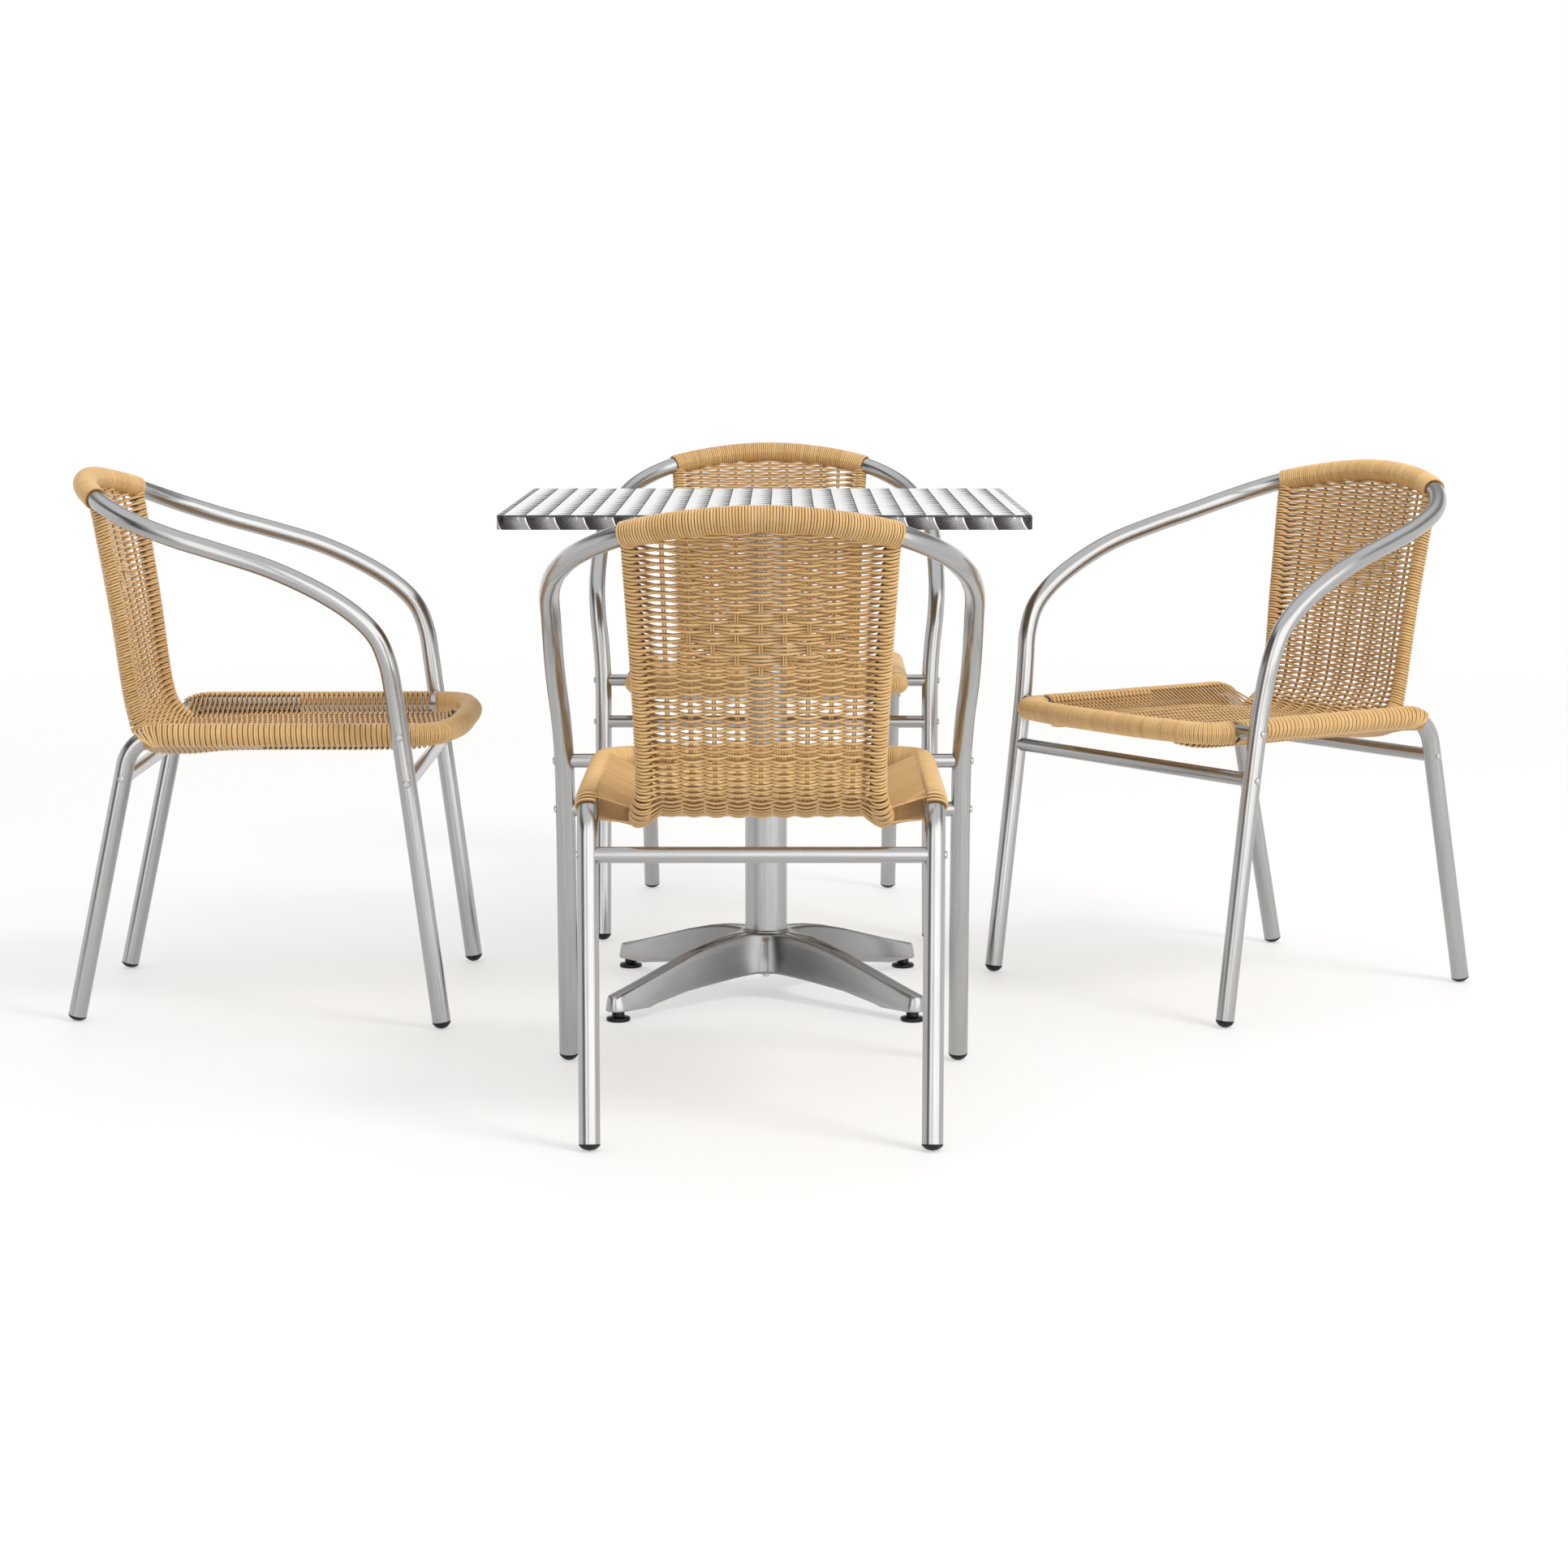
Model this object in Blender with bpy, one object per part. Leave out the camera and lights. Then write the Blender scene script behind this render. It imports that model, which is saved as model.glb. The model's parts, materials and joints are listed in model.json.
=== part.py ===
"""Patio dining set: a square pedestal table and four stacking armchairs.

Metres, +Z up, floor at z = 0. The set's origin is on the floor, under the middle of its bounding box.
Each chair is drawn once in its own frame (x across, +y to its front, z up, origin on the floor) and
placed four times. The table is drawn about its column's axis.
"""

import math

import bmesh
import bpy
from mathutils import Matrix, Vector

GAP = 0.0003  # clearance between pieces that touch

# Placement: the table's axis, and each chair's place relative to it with its turn in degrees
TABLE_AXIS = (-0.0307, 0.0145)
CHAIR_PLACES = {
    "chair_near": (-0.001, -0.707, 0.0),
    "chair_far": (0.000, 0.678, 179.6),
    "chair_left": (-0.6885, -0.002, -90.0),
    "chair_right": (0.6835, 0.1035, 125.0),
}

# Chair tubes
TUBE_RADIUS = 0.0125
TUBE_SIDES = 8
ROD_RADIUS = 0.006
ROD_SIDES = 6
STRETCHER_RADIUS = 0.0095
SPACER_RADIUS = 0.0090
FRONT_STRETCHER_Z = 0.334
REAR_STRETCHER_Z = 0.335
SPACER_Z = 0.397

# Half of the arm frame's centre line, from a front foot up the leg, along the arm and round the back
ARM_FOOT = (0.2519, 0.2523, 0.0)
ARM_KNOTS = (
    (0.2510, 0.2138, 0.3000),
    (0.2520, 0.1998, 0.4050),
    (0.2554, 0.1931, 0.4550),
    (0.2600, 0.1860, 0.4964),
    (0.2622, 0.1720, 0.5312),
    (0.2623, 0.1480, 0.5576),
    (0.2611, 0.1070, 0.5860),
    (0.2581, 0.0360, 0.6201),
    (0.2482, -0.0470, 0.6464),
    (0.2380, -0.0980, 0.6612),
    (0.2158, -0.1580, 0.6819),
    (0.1858, -0.1950, 0.6982),
    (0.1500, -0.2203, 0.7110),
    (0.0780, -0.2464, 0.7244),
    (0.0000, -0.2537, 0.7299),
)

# Half of the seat frame's centre line, from a rear foot to the middle of the front rail, with bend radii
SEAT_FOOT = (0.1980, -0.2530, 0.0)
SEAT_CORNERS = (
    ((0.2025, -0.1683, 0.3930), 0.050),
    ((0.2025, 0.2440, 0.3940), 0.042),
    ((0.1000, 0.2670, 0.3950), 0.300),
)

# Half of the sling frame's centre line, from under the top rail down the back and forward below the seat
SLING_KNOTS = (
    (0.1490, -0.2150, 0.6930),
    (0.1405, -0.1935, 0.5500),
    (0.1358, -0.1760, 0.4200),
    (0.1385, -0.1650, 0.3900),
    (0.1440, -0.1440, 0.3730),
    (0.1490, -0.1000, 0.3705),
    (0.1515, -0.0500, 0.3750),
    (0.1515, 0.0400, 0.3762),
    (0.1515, 0.1500, 0.3762),
    (0.1475, 0.2200, 0.3762),
    (0.1290, 0.2400, 0.3762),
    (0.0600, 0.2430, 0.3762),
)

# Woven panels
WEAVE_THICKNESS = 0.005
WEAVE_MARGIN = 0.003  # between a panel and the tubes beside it
BACK_TOP_GAP = 0.001  # below the top rail
BACK_BOTTOM_Z = 0.392
BACK_BOW_BOTTOM = 0.010
BACK_BOW_TOP = 0.027
SEAT_REAR_Y = -0.150
SEAT_Z = 0.3855
SEAT_FLAT_HALF_WIDTH = 0.150
SEAT_HALF_WIDTH = 0.1885
SEAT_EDGE_RISE = 0.009

# Foot caps: the radius of each dome and the height of the band above it
SMALL_SIDES = 8
FRONT_DOME_RADIUS = 0.0135
REAR_DOME_RADIUS = 0.0160
CAP_BAND = 0.0015
DOME_STEPS = (0.12, 0.45, 0.75, 1.0)  # shares of the dome's arc, from its flattened tip up

# Table top
TABLE_SIDE = 0.6985
TABLE_HEIGHT = 0.6985
RIM_HEIGHT = 0.0190
CORNER_RADIUS = 0.0140
EDGE_ROLL = 0.0025
SHEET = 0.0012
CORNER_STEPS = 4

# Column, base and what clamps them together
COLUMN_RADIUS = 0.0295
COLUMN_WALL = 0.0025
COLUMN_FOOT_Z = 0.0923
COLUMN_TOP_Z = 0.6540
ROUND_SIDES = 16
TIE_ROD_RADIUS = 0.0050
TIE_ROD_Z = (0.0240, 0.6770)
TIE_ROD_HOLE = 0.0053
WASHER_RADIUS = 0.0120
WASHER_Z = (0.0362, 0.0377)
NUT_RADIUS = 0.0098
NUT_Z = (0.0276, 0.0359)
GLIDE_OFFSET = 0.2010
STUD_RADIUS = 0.0040
STUD_HOLE = 0.0043
STUD_Z = (0.0128, 0.0325)
STUD_HOLE_TOP_Z = 0.0330
PAD_SIDES = 12
PAD_PROFILE = (
    (0.0145, 0.0),
    (0.0165, 0.0015),
    (0.0165, 0.0045),
    (0.0140, 0.0065),
    (0.0078, 0.0075),
    (0.0078, STUD_Z[0] - GAP),
)

# Star castings: half width of the arms, size of the fillets between them, reach, for each outline
BASE_LOWER = (0.0130, 0.0224, 0.3020)
BASE_UPPER = (0.0085, 0.0150, 0.2980)
BASE_TOP_LINE = (
    (0.0, 0.0920),
    (0.0450, 0.0920),
    (0.0800, 0.0895),
    (0.1200, 0.0828),
    (0.1500, 0.0755),
    (0.2850, 0.0370),
    (0.3020, 0.0345),
)
BASE_UNDER_LINE = ((0.0, 0.0380), (0.0500, 0.0380), (0.2600, 0.0200), (0.2660, 0.0130), (0.3020, 0.0130))
SPIDER_LOWER = (0.0120, 0.0260, 0.2300)
SPIDER_UPPER = (0.0135, 0.0270, 0.2320)
SPIDER_TOP_Z = TABLE_HEIGHT - RIM_HEIGHT - GAP
SPIDER_UNDER_LINE = ((0.0, COLUMN_TOP_Z + GAP), (0.0400, COLUMN_TOP_Z + GAP), (0.2320, 0.6730))
STAR_ARMS = 4
TIP_START = 0.92  # an arm's tip is rounded off: the half width where it starts, as a share
TIP_SHOULDER = (0.3, 0.7)  # and a point on the rounding, as shares of that half width
STAR_RINGS = (0.12, 0.55, 1.0)  # where rings of points lie between hub and outline
FILLET_STEPS = (1.0, 1.6, 2.6, 4.5, 9.0)


# ---------------------------------------------------------------- materials and objects


def material(name, colour, roughness, metallic=0.0):
    made = bpy.data.materials.new(name)
    made.use_nodes = True
    shader = made.node_tree.nodes["Principled BSDF"]
    shader.inputs["Base Color"].default_value = (*colour, 1.0)
    shader.inputs["Roughness"].default_value = roughness
    shader.inputs["Metallic"].default_value = metallic
    made.diffuse_color = (*colour, 1.0)
    return made


def part(name, mesh, look, parent=None):
    """One named piece, drawn in its parent's frame."""
    mesh.materials.clear()
    mesh.materials.append(look)
    made = bpy.data.objects.new(name, mesh)
    bpy.context.collection.objects.link(made)
    made.parent = parent
    return made


def marker(name, place, turn=0.0, parent=None):
    """An empty that carries pieces, such as a chair's frame or a joint's axis."""
    made = bpy.data.objects.new(name, None)
    bpy.context.collection.objects.link(made)
    made.location = place
    made.rotation_euler.z = math.radians(turn)
    made.parent = parent
    return made


def mesh_of(name, rings, capped=True):
    """A mesh from rings of points bridged in order: its two ends are faces, or they meet."""
    shape = bmesh.new()
    rows = [[shape.verts.new(point) for point in ring] for ring in rings]
    for near, far in zip(rows, rows[1:]):
        for i in range(len(near)):
            j = (i + 1) % len(near)
            shape.faces.new((near[i], near[j], far[j], far[i]))
    if capped:
        shape.faces.new(rows[0][::-1])
        shape.faces.new(rows[-1])
    else:
        first, last = rows[0], rows[-1]
        for i in range(len(first)):
            j = (i + 1) % len(first)
            shape.faces.new((last[i], last[j], first[j], first[i]))
    bmesh.ops.recalc_face_normals(shape, faces=shape.faces)
    mesh = bpy.data.meshes.new(name)
    shape.to_mesh(mesh)
    shape.free()
    return smooth(mesh)


def smooth(mesh):
    mesh.shade_smooth()
    mesh.set_sharp_from_angle(angle=math.radians(50))
    return mesh


def cut_or_joined(mesh, operation, *others):
    """The mesh after an exact Boolean with each of the other meshes."""
    scene = bpy.context.scene.collection
    subject = bpy.data.objects.new("subject", mesh)
    scene.objects.link(subject)
    helpers = [subject]
    for other in others:
        tool = bpy.data.objects.new("tool", other)
        tool.display_type = "WIRE"
        tool.hide_render = True
        scene.objects.link(tool)
        helpers.append(tool)
        step = subject.modifiers.new("boolean", "BOOLEAN")
        step.operation = operation
        step.solver = "EXACT"
        step.object = tool
    graph = bpy.context.evaluated_depsgraph_get()
    result = bpy.data.meshes.new_from_object(subject.evaluated_get(graph))
    result.name = mesh.name
    for helper in helpers:
        bpy.data.objects.remove(helper)
    return smooth(result)


# ---------------------------------------------------------------- paths


def through(knots, steps):
    """Points on a smooth curve through the knots: a centripetal Catmull-Rom spline."""
    points = [Vector(knot) for knot in knots]
    ends = [points[0] * 2 - points[1], *points, points[-1] * 2 - points[-2]]
    curve = []
    for a, b, c, d in zip(ends, ends[1:], ends[2:], ends[3:]):
        t1 = math.sqrt((b - a).length)
        t2 = t1 + math.sqrt((c - b).length)
        t3 = t2 + math.sqrt((d - c).length)
        for step in range(steps):
            t = t1 + (t2 - t1) * step / steps
            ab = a.lerp(b, t / t1)
            bc = b.lerp(c, (t - t1) / (t2 - t1))
            cd = c.lerp(d, (t - t2) / (t3 - t2))
            abc = ab.lerp(bc, t / t2)
            bcd = bc.lerp(cd, (t - t1) / (t3 - t1))
            curve.append(abc.lerp(bcd, (t - t1) / (t2 - t1)))
    return [*curve, points[-1]]


def bent(corners, per_step=math.radians(20)):
    """A bent tube's centre line: straight runs joined by arcs, from (point, bend radius) pairs."""
    line = [Vector(corners[0][0])]
    for (a, _), (b, radius), (c, _) in zip(corners, corners[1:], corners[2:]):
        corner = Vector(b)
        back = (Vector(a) - corner).normalized()
        ahead = (Vector(c) - corner).normalized()
        inside = back.angle(ahead)
        centre = corner + (back + ahead).normalized() * (radius / math.sin(inside / 2))
        start = corner + back * (radius / math.tan(inside / 2)) - centre
        turn = math.pi - inside
        axis = start.cross(ahead)
        steps = max(2, round(turn / per_step))
        line += [centre + Matrix.Rotation(turn * i / steps, 3, axis) @ start for i in range(steps + 1)]
    return [*line, Vector(corners[-1][0])]


def mirrored(half, middle_included):
    """The whole centre line from its right half, which runs inwards from a foot."""
    inner = half[:-1] if middle_included else half
    return [*half, *[Vector((-p[0], p[1], p[2])) for p in reversed(inner)]]


def tube(name, line, radius, sides):
    """A round bar along a centre line, with square-cut ends."""
    points = [Vector(point) for point in line]
    ahead = (points[1] - points[0]).normalized()
    side = ahead.orthogonal().normalized()
    rings = []
    for i, point in enumerate(points):
        before = points[max(i - 1, 0)]
        after = points[min(i + 1, len(points) - 1)]
        along = (after - before).normalized()
        side = (side - along * side.dot(along)).normalized()
        up = along.cross(side)
        angles = [2 * math.pi * k / sides for k in range(sides)]
        rings.append([point + radius * (math.cos(a) * side + math.sin(a) * up) for a in angles])
    return mesh_of(name, rings)


def turned(name, profile, sides, axis=None, capped=True):
    """A turned piece from (radius, height) pairs, about Z or about an axis given as a matrix."""
    place = axis or Matrix.Identity(4)
    rings = []
    for radius, height in profile:
        angles = [2 * math.pi * (k + 0.5) / sides for k in range(sides)]
        rings.append([place @ Vector((radius * math.cos(a), radius * math.sin(a), height)) for a in angles])
    return mesh_of(name, rings, capped=capped)


# ---------------------------------------------------------------- chair


def cap_rise(dome_radius, lean):
    """How far up a leaning leg's axis the top of its cap lies, above the floor point."""
    return dome_radius / lean.z - math.sqrt(dome_radius**2 - TUBE_RADIUS**2) + CAP_BAND


def arm_line(steps=2):
    foot = Vector(ARM_FOOT)
    lean = (Vector(ARM_KNOTS[0]) - foot).normalized()
    start = foot + lean * (cap_rise(FRONT_DOME_RADIUS, lean) + GAP)
    return mirrored([start, *through(ARM_KNOTS, steps)], middle_included=True)


def seat_line():
    foot = Vector(SEAT_FOOT)
    lean = (Vector(SEAT_CORNERS[0][0]) - foot).normalized()
    start = foot + lean * (cap_rise(REAR_DOME_RADIUS, lean) + GAP)
    middle = Vector((0.0, SEAT_CORNERS[-1][0][1], SEAT_CORNERS[-1][0][2]))
    return mirrored(bent([(start, 0.0), *SEAT_CORNERS, (middle, 0.0)]), middle_included=True)


def across(line, height):
    """Where a leg's centre line passes a height, on its straight lower run."""
    for a, b in zip(line, line[1:]):
        if a.z <= height <= b.z:
            return a.lerp(b, (height - a.z) / (b.z - a.z))
    raise ValueError("no leg at that height")


def bar_between(name, place, radius):
    """A bar across the chair, through the point and its mirror image."""
    return tube(name, [place, Vector((-place.x, place.y, place.z))], radius, TUBE_SIDES)


def spacer(side, place):
    """A stub from the side rail out to the front leg."""
    inner = Vector((side * SEAT_CORNERS[0][0][0], place.y, place.z))
    return tube("spacer", [inner, Vector((side * place.x, place.y, place.z))], SPACER_RADIUS, TUBE_SIDES)


def rail_point(line, x):
    """The point of the top rail at x."""
    rail = [point for point in line if point.y < -0.15 and point.z > 0.6]
    for a, b in zip(rail, rail[1:]):
        if min(a.x, b.x) <= x <= max(a.x, b.x):
            return a.lerp(b, (x - a.x) / (b.x - a.x))
    raise ValueError("no rail at that x")


def sling_point(z):
    """The sling rod's point at a height of the back."""
    upper = [Vector(knot) for knot in SLING_KNOTS[:4]]
    for a, b in zip(upper, upper[1:]):
        if z >= b.z:
            break
    return a.lerp(b, (a.z - z) / (a.z - b.z))


def sheet(name, grid):
    """A closed slab about a grid of points."""
    mesh = bpy.data.meshes.new(name)
    rows, columns = len(grid), len(grid[0])
    faces = []
    for i in range(rows - 1):
        for j in range(columns - 1):
            first = i * columns + j
            faces.append((first, first + 1, first + columns + 1, first + columns))
    mesh.from_pydata([tuple(point) for row in grid for point in row], [], faces)
    return smooth(mesh)


def back_grid(line, rows=6, columns=7):
    """The back panel: between the rods, bowed like the top rail above it."""
    grid = []
    for i in range(rows):
        rise = i / (rows - 1)
        row = []
        for j in range(columns):
            u = 2 * j / (columns - 1) - 1
            top = rail_point(line, u * (SLING_KNOTS[0][0] - ROD_RADIUS)).z - TUBE_RADIUS - BACK_TOP_GAP
            z = BACK_BOTTOM_Z + rise * (top - BACK_BOTTOM_Z)
            rod = sling_point(z)
            bow = BACK_BOW_BOTTOM + (BACK_BOW_TOP - BACK_BOW_BOTTOM) * rise
            half = rod.x - ROD_RADIUS - WEAVE_MARGIN
            row.append(Vector((u * half, rod.y - bow * (1 - u * u), z)))
        grid.append(row)
    return grid


def seat_grid(line, rows=5, columns=9):
    """The seat panel: flat in the middle, rising to the side rails, ending behind the front rail."""
    front = [point for point in line if point.y > 0.2]
    grid = []
    for i in range(rows):
        row = []
        for j in range(columns):
            x = SEAT_HALF_WIDTH * (2 * j / (columns - 1) - 1)
            rise = max(0.0, abs(x) - SEAT_FLAT_HALF_WIDTH) / (SEAT_HALF_WIDTH - SEAT_FLAT_HALF_WIDTH)
            nearest = min(front, key=lambda point: abs(point.x - x))
            edge = nearest.y - (TUBE_RADIUS + WEAVE_MARGIN) * (1 + rise)
            reach = i / (rows - 1)
            y = SEAT_REAR_Y + reach * (edge - SEAT_REAR_Y)
            row.append(Vector((x, y, SEAT_Z + SEAT_EDGE_RISE * rise**2)))
        grid.append(row)
    return grid


def foot_cap(name, foot, above, dome_radius):
    """A domed plug on a leaning leg, its lowest point on the floor."""
    floor = Vector(foot)
    lean = (Vector(above) - floor).normalized()
    centre = floor + lean * (dome_radius / lean.z)
    axis = Matrix.Translation(centre) @ lean.to_track_quat("Z", "Y").to_matrix().to_4x4()
    widest = math.asin(TUBE_RADIUS / dome_radius)
    profile = []
    for step in DOME_STEPS:
        angle = widest * step
        profile.append((dome_radius * math.sin(angle), -dome_radius * math.cos(angle)))
    profile.append((TUBE_RADIUS, profile[-1][1] + CAP_BAND))
    return turned(name, profile, SMALL_SIDES, axis)


def chair_meshes(looks):
    """Each piece of a chair, in the chair's frame: name -> (mesh, look)."""
    arms = arm_line()
    seat = seat_line()
    room = TUBE_RADIUS + 2 * GAP
    arm_cutter = tube("arm_cutter", arms, room, TUBE_SIDES)
    seat_cutter = tube("seat_cutter", seat, room, TUBE_SIDES)
    front = across(arms, FRONT_STRETCHER_Z)
    rear = across(seat, REAR_STRETCHER_Z)
    stub = across(arms, SPACER_Z)
    seat_tube = tube("seat_frame", seat, TUBE_RADIUS, TUBE_SIDES)
    seat_tube = cut_or_joined(seat_tube, "UNION", spacer(1, stub), spacer(-1, stub))
    sling_half = through(SLING_KNOTS, 2)
    pieces = {
        "arm_frame": (tube("arm_frame", arms, TUBE_RADIUS, TUBE_SIDES), looks["tube"]),
        "seat_frame": (cut_or_joined(seat_tube, "DIFFERENCE", arm_cutter), looks["tube"]),
        "front_stretcher": (
            cut_or_joined(bar_between("front_stretcher", front, STRETCHER_RADIUS), "DIFFERENCE", arm_cutter),
            looks["tube"],
        ),
        "rear_stretcher": (
            cut_or_joined(bar_between("rear_stretcher", rear, STRETCHER_RADIUS), "DIFFERENCE", seat_cutter),
            looks["tube"],
        ),
        "sling_frame": (
            tube("sling_frame", mirrored(sling_half, middle_included=False), ROD_RADIUS, ROD_SIDES),
            looks["rod"],
        ),
        "back_weave": (sheet("back_weave", back_grid(arms)), looks["rattan"]),
        "seat_weave": (sheet("seat_weave", seat_grid(seat)), looks["rattan"]),
    }
    for end, foot, above, dome in (
        ("front", ARM_FOOT, ARM_KNOTS[0], FRONT_DOME_RADIUS),
        ("rear", SEAT_FOOT, SEAT_CORNERS[0][0], REAR_DOME_RADIUS),
    ):
        for hand, sign in (("left", -1), ("right", 1)):
            name = f"{end}_{hand}_foot_cap"
            mesh = foot_cap(name, (sign * foot[0], *foot[1:]), (sign * above[0], *above[1:]), dome)
            pieces[name] = (mesh, looks["cap"])
    return pieces


def make_chairs(looks, table):
    pieces = chair_meshes(looks)
    for chair, (x, y, turn) in CHAIR_PLACES.items():
        frame = marker(chair, (x, y, 0.0), turn, table)
        for name, (mesh, look) in pieces.items():
            made = part(f"{chair}_{name}", mesh, look, frame)
            if name.endswith("weave"):
                thicken = made.modifiers.new("thickness", "SOLIDIFY")
                thicken.thickness = WEAVE_THICKNESS
                thicken.offset = 0.0


# ---------------------------------------------------------------- table


def square(side, radius, height):
    """A level square with rounded corners, as a ring of points."""
    ring = []
    for corner in range(4):
        for step in range(CORNER_STEPS + 1):
            angle = math.radians(90 * (corner + step / CORNER_STEPS))
            turn = math.radians(90 * corner + 45)
            reach = (side / 2 - radius) * math.sqrt(2)
            x = reach * math.cos(turn) + radius * math.cos(angle)
            y = reach * math.sin(turn) + radius * math.sin(angle)
            ring.append(Vector((x, y, height)))
    return ring


def inset_square(inset, height):
    return square(TABLE_SIDE - 2 * inset, CORNER_RADIUS - inset, height)


def table_top_shell():
    """The pressed metal top: a sheet with a rolled edge and a turned-down rim, open below."""
    top = TABLE_HEIGHT
    under = top - RIM_HEIGHT
    rings = [
        inset_square(EDGE_ROLL, top),
        inset_square(EDGE_ROLL * 0.3, top - EDGE_ROLL * 0.3),
        inset_square(0.0, top - EDGE_ROLL),
        inset_square(0.0, under),
        inset_square(SHEET, under),
        inset_square(SHEET, top - EDGE_ROLL),
        inset_square(EDGE_ROLL, top - SHEET),
    ]
    return mesh_of("table_top_shell", rings)


def table_top_core():
    """The board that fills the shell."""
    top = TABLE_HEIGHT
    inset = SHEET + GAP
    rings = [
        inset_square(EDGE_ROLL, top - SHEET - GAP),
        inset_square(inset, top - EDGE_ROLL - GAP),
        inset_square(inset, top - RIM_HEIGHT),
    ]
    return mesh_of("table_top_core", rings)


def on_line(line, distance):
    """The height of a line of (distance, height) points, at a distance."""
    for (a, low), (b, high) in zip(line, line[1:]):
        if distance <= b:
            return low + (high - low) * (distance - a) / (b - a)
    return line[-1][1]


def star_outline(half_width, fillet, reach):
    """A star's plan as (angle, radius) pairs: straight arms on the diagonals, with hyperbolic fillets."""
    side = [(half_width + fillet * g, half_width + fillet / g) for g in FILLET_STEPS]
    tip = side[-1][1] * TIP_START
    shoulder = (reach - tip * TIP_SHOULDER[0], tip * TIP_SHOULDER[1])
    flank = [*side, (reach - tip, tip), shoulder]
    half = [(math.atan2(w, a), math.hypot(a, w)) for a, w in flank]
    arm = [(-angle, radius) for angle, radius in half] + [(0.0, reach)] + half[::-1]
    outline = []
    for k in range(STAR_ARMS):
        axis = math.radians(45 + 90 * k)
        outline += [(axis + angle, radius) for angle, radius in arm[:-1]]
    return outline


def star_rings(outline, line, hub_circle):
    """Rings from the central hole to the outline, whose height follows a line."""
    rings = []
    for circle in (TIE_ROD_HOLE, hub_circle):
        rings.append([(angle, circle) for angle, _ in outline])
    for share in STAR_RINGS:
        rings.append([(angle, hub_circle + share * (radius - hub_circle)) for angle, radius in outline])
    return [
        [Vector((r * math.cos(a), r * math.sin(a), on_line(line, r))) for a, r in ring] for ring in rings
    ]


def star_casting(name, lower, upper, under_line, top_line, hub_circle):
    """A four-armed casting about the column's axis, with a hole down its middle."""
    below = star_rings(star_outline(*lower), under_line, hub_circle)
    above = star_rings(star_outline(*upper), top_line, hub_circle)
    return mesh_of(name, [*below, *reversed(above)], capped=False)


def glide_places():
    return [(sx * GLIDE_OFFSET, sy * GLIDE_OFFSET) for sx, sy in ((-1, -1), (1, -1), (1, 1), (-1, 1))]


def base_casting():
    """The foot of the table, drilled for its glides."""
    casting = star_casting(
        "base_casting", BASE_LOWER, BASE_UPPER, BASE_UNDER_LINE, BASE_TOP_LINE, COLUMN_RADIUS + 0.0015
    )
    drills = []
    for x, y in glide_places():
        place = Matrix.Translation((x, y, 0.0))
        drills.append(turned("drill", [(STUD_HOLE, 0.0), (STUD_HOLE, STUD_HOLE_TOP_Z)], SMALL_SIDES, place))
    return cut_or_joined(casting, "DIFFERENCE", *drills)


def ring_piece(name, inner, outer, low, high, sides):
    """A plain ring, such as a washer or a length of pipe."""
    profile = [(inner, low), (outer, low), (outer, high), (inner, high)]
    return turned(name, profile, sides, capped=False)


def make_table(looks, table):
    part("table_top_shell", table_top_shell(), looks["top"], table)
    part("table_top_core", table_top_core(), looks["core"], table)
    top_line = ((0.0, SPIDER_TOP_Z), (1.0, SPIDER_TOP_Z))
    spider = star_casting(
        "top_spider", SPIDER_LOWER, SPIDER_UPPER, SPIDER_UNDER_LINE, top_line, COLUMN_RADIUS
    )
    part("top_spider", spider, looks["cast"], table)
    column = ring_piece(
        "column", COLUMN_RADIUS - COLUMN_WALL, COLUMN_RADIUS, COLUMN_FOOT_Z, COLUMN_TOP_Z, ROUND_SIDES
    )
    part("column", column, looks["column"], table)
    part("base_casting", base_casting(), looks["cast"], table)
    rod = turned("tie_rod", [(TIE_ROD_RADIUS, z) for z in TIE_ROD_Z], SMALL_SIDES)
    part("tie_rod", rod, looks["steel"], table)
    washer = ring_piece("tie_rod_washer", TIE_ROD_HOLE, WASHER_RADIUS, *WASHER_Z, ROUND_SIDES)
    part("tie_rod_washer", washer, looks["steel"], table)
    nut_hole = TIE_ROD_HOLE / math.cos(math.pi / 6)
    part("tie_rod_nut", ring_piece("tie_rod_nut", nut_hole, NUT_RADIUS, *NUT_Z, 6), looks["steel"], table)


def make_glides(looks, table):
    """Screw-in levelling feet: a stud in the casting and the pad that turns with it."""
    stud = turned("glide_stud", [(STUD_RADIUS, z) for z in STUD_Z], SMALL_SIDES)
    pad = turned("glide_pad", PAD_PROFILE, PAD_SIDES)
    for number, (x, y) in enumerate(glide_places(), 1):
        axis = marker(f"glide_{number}_axis", (x, y, 0.0), 0.0, table)
        part(f"glide_{number}_stud", stud, looks["steel"], axis)
        part(f"glide_{number}_pad", pad, looks["pad"], axis)


# ---------------------------------------------------------------- the set


def main():
    for old in list(bpy.data.objects):
        bpy.data.objects.remove(old)
    looks = {
        "tube": material("aluminium_tube", (0.70, 0.70, 0.71), 0.28, 1.0),
        "rod": material("dark_steel_rod", (0.06, 0.06, 0.065), 0.45, 0.6),
        "rattan": material("rattan", (0.60, 0.38, 0.18), 0.55),
        "cap": material("black_cap", (0.02, 0.02, 0.02), 0.5),
        "top": material("swirl_metal_top", (0.78, 0.79, 0.80), 0.25, 1.0),
        "core": material("board_core", (0.32, 0.24, 0.16), 0.8),
        "column": material("column_tube", (0.66, 0.66, 0.67), 0.35, 1.0),
        "cast": material("cast_aluminium", (0.55, 0.55, 0.56), 0.4, 1.0),
        "steel": material("zinc_steel", (0.60, 0.61, 0.62), 0.35, 1.0),
        "pad": material("black_pad", (0.02, 0.02, 0.02), 0.45),
    }
    table = marker("table_axis", (*TABLE_AXIS, 0.0))
    make_table(looks, table)
    make_glides(looks, table)
    make_chairs(looks, table)


main()
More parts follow.
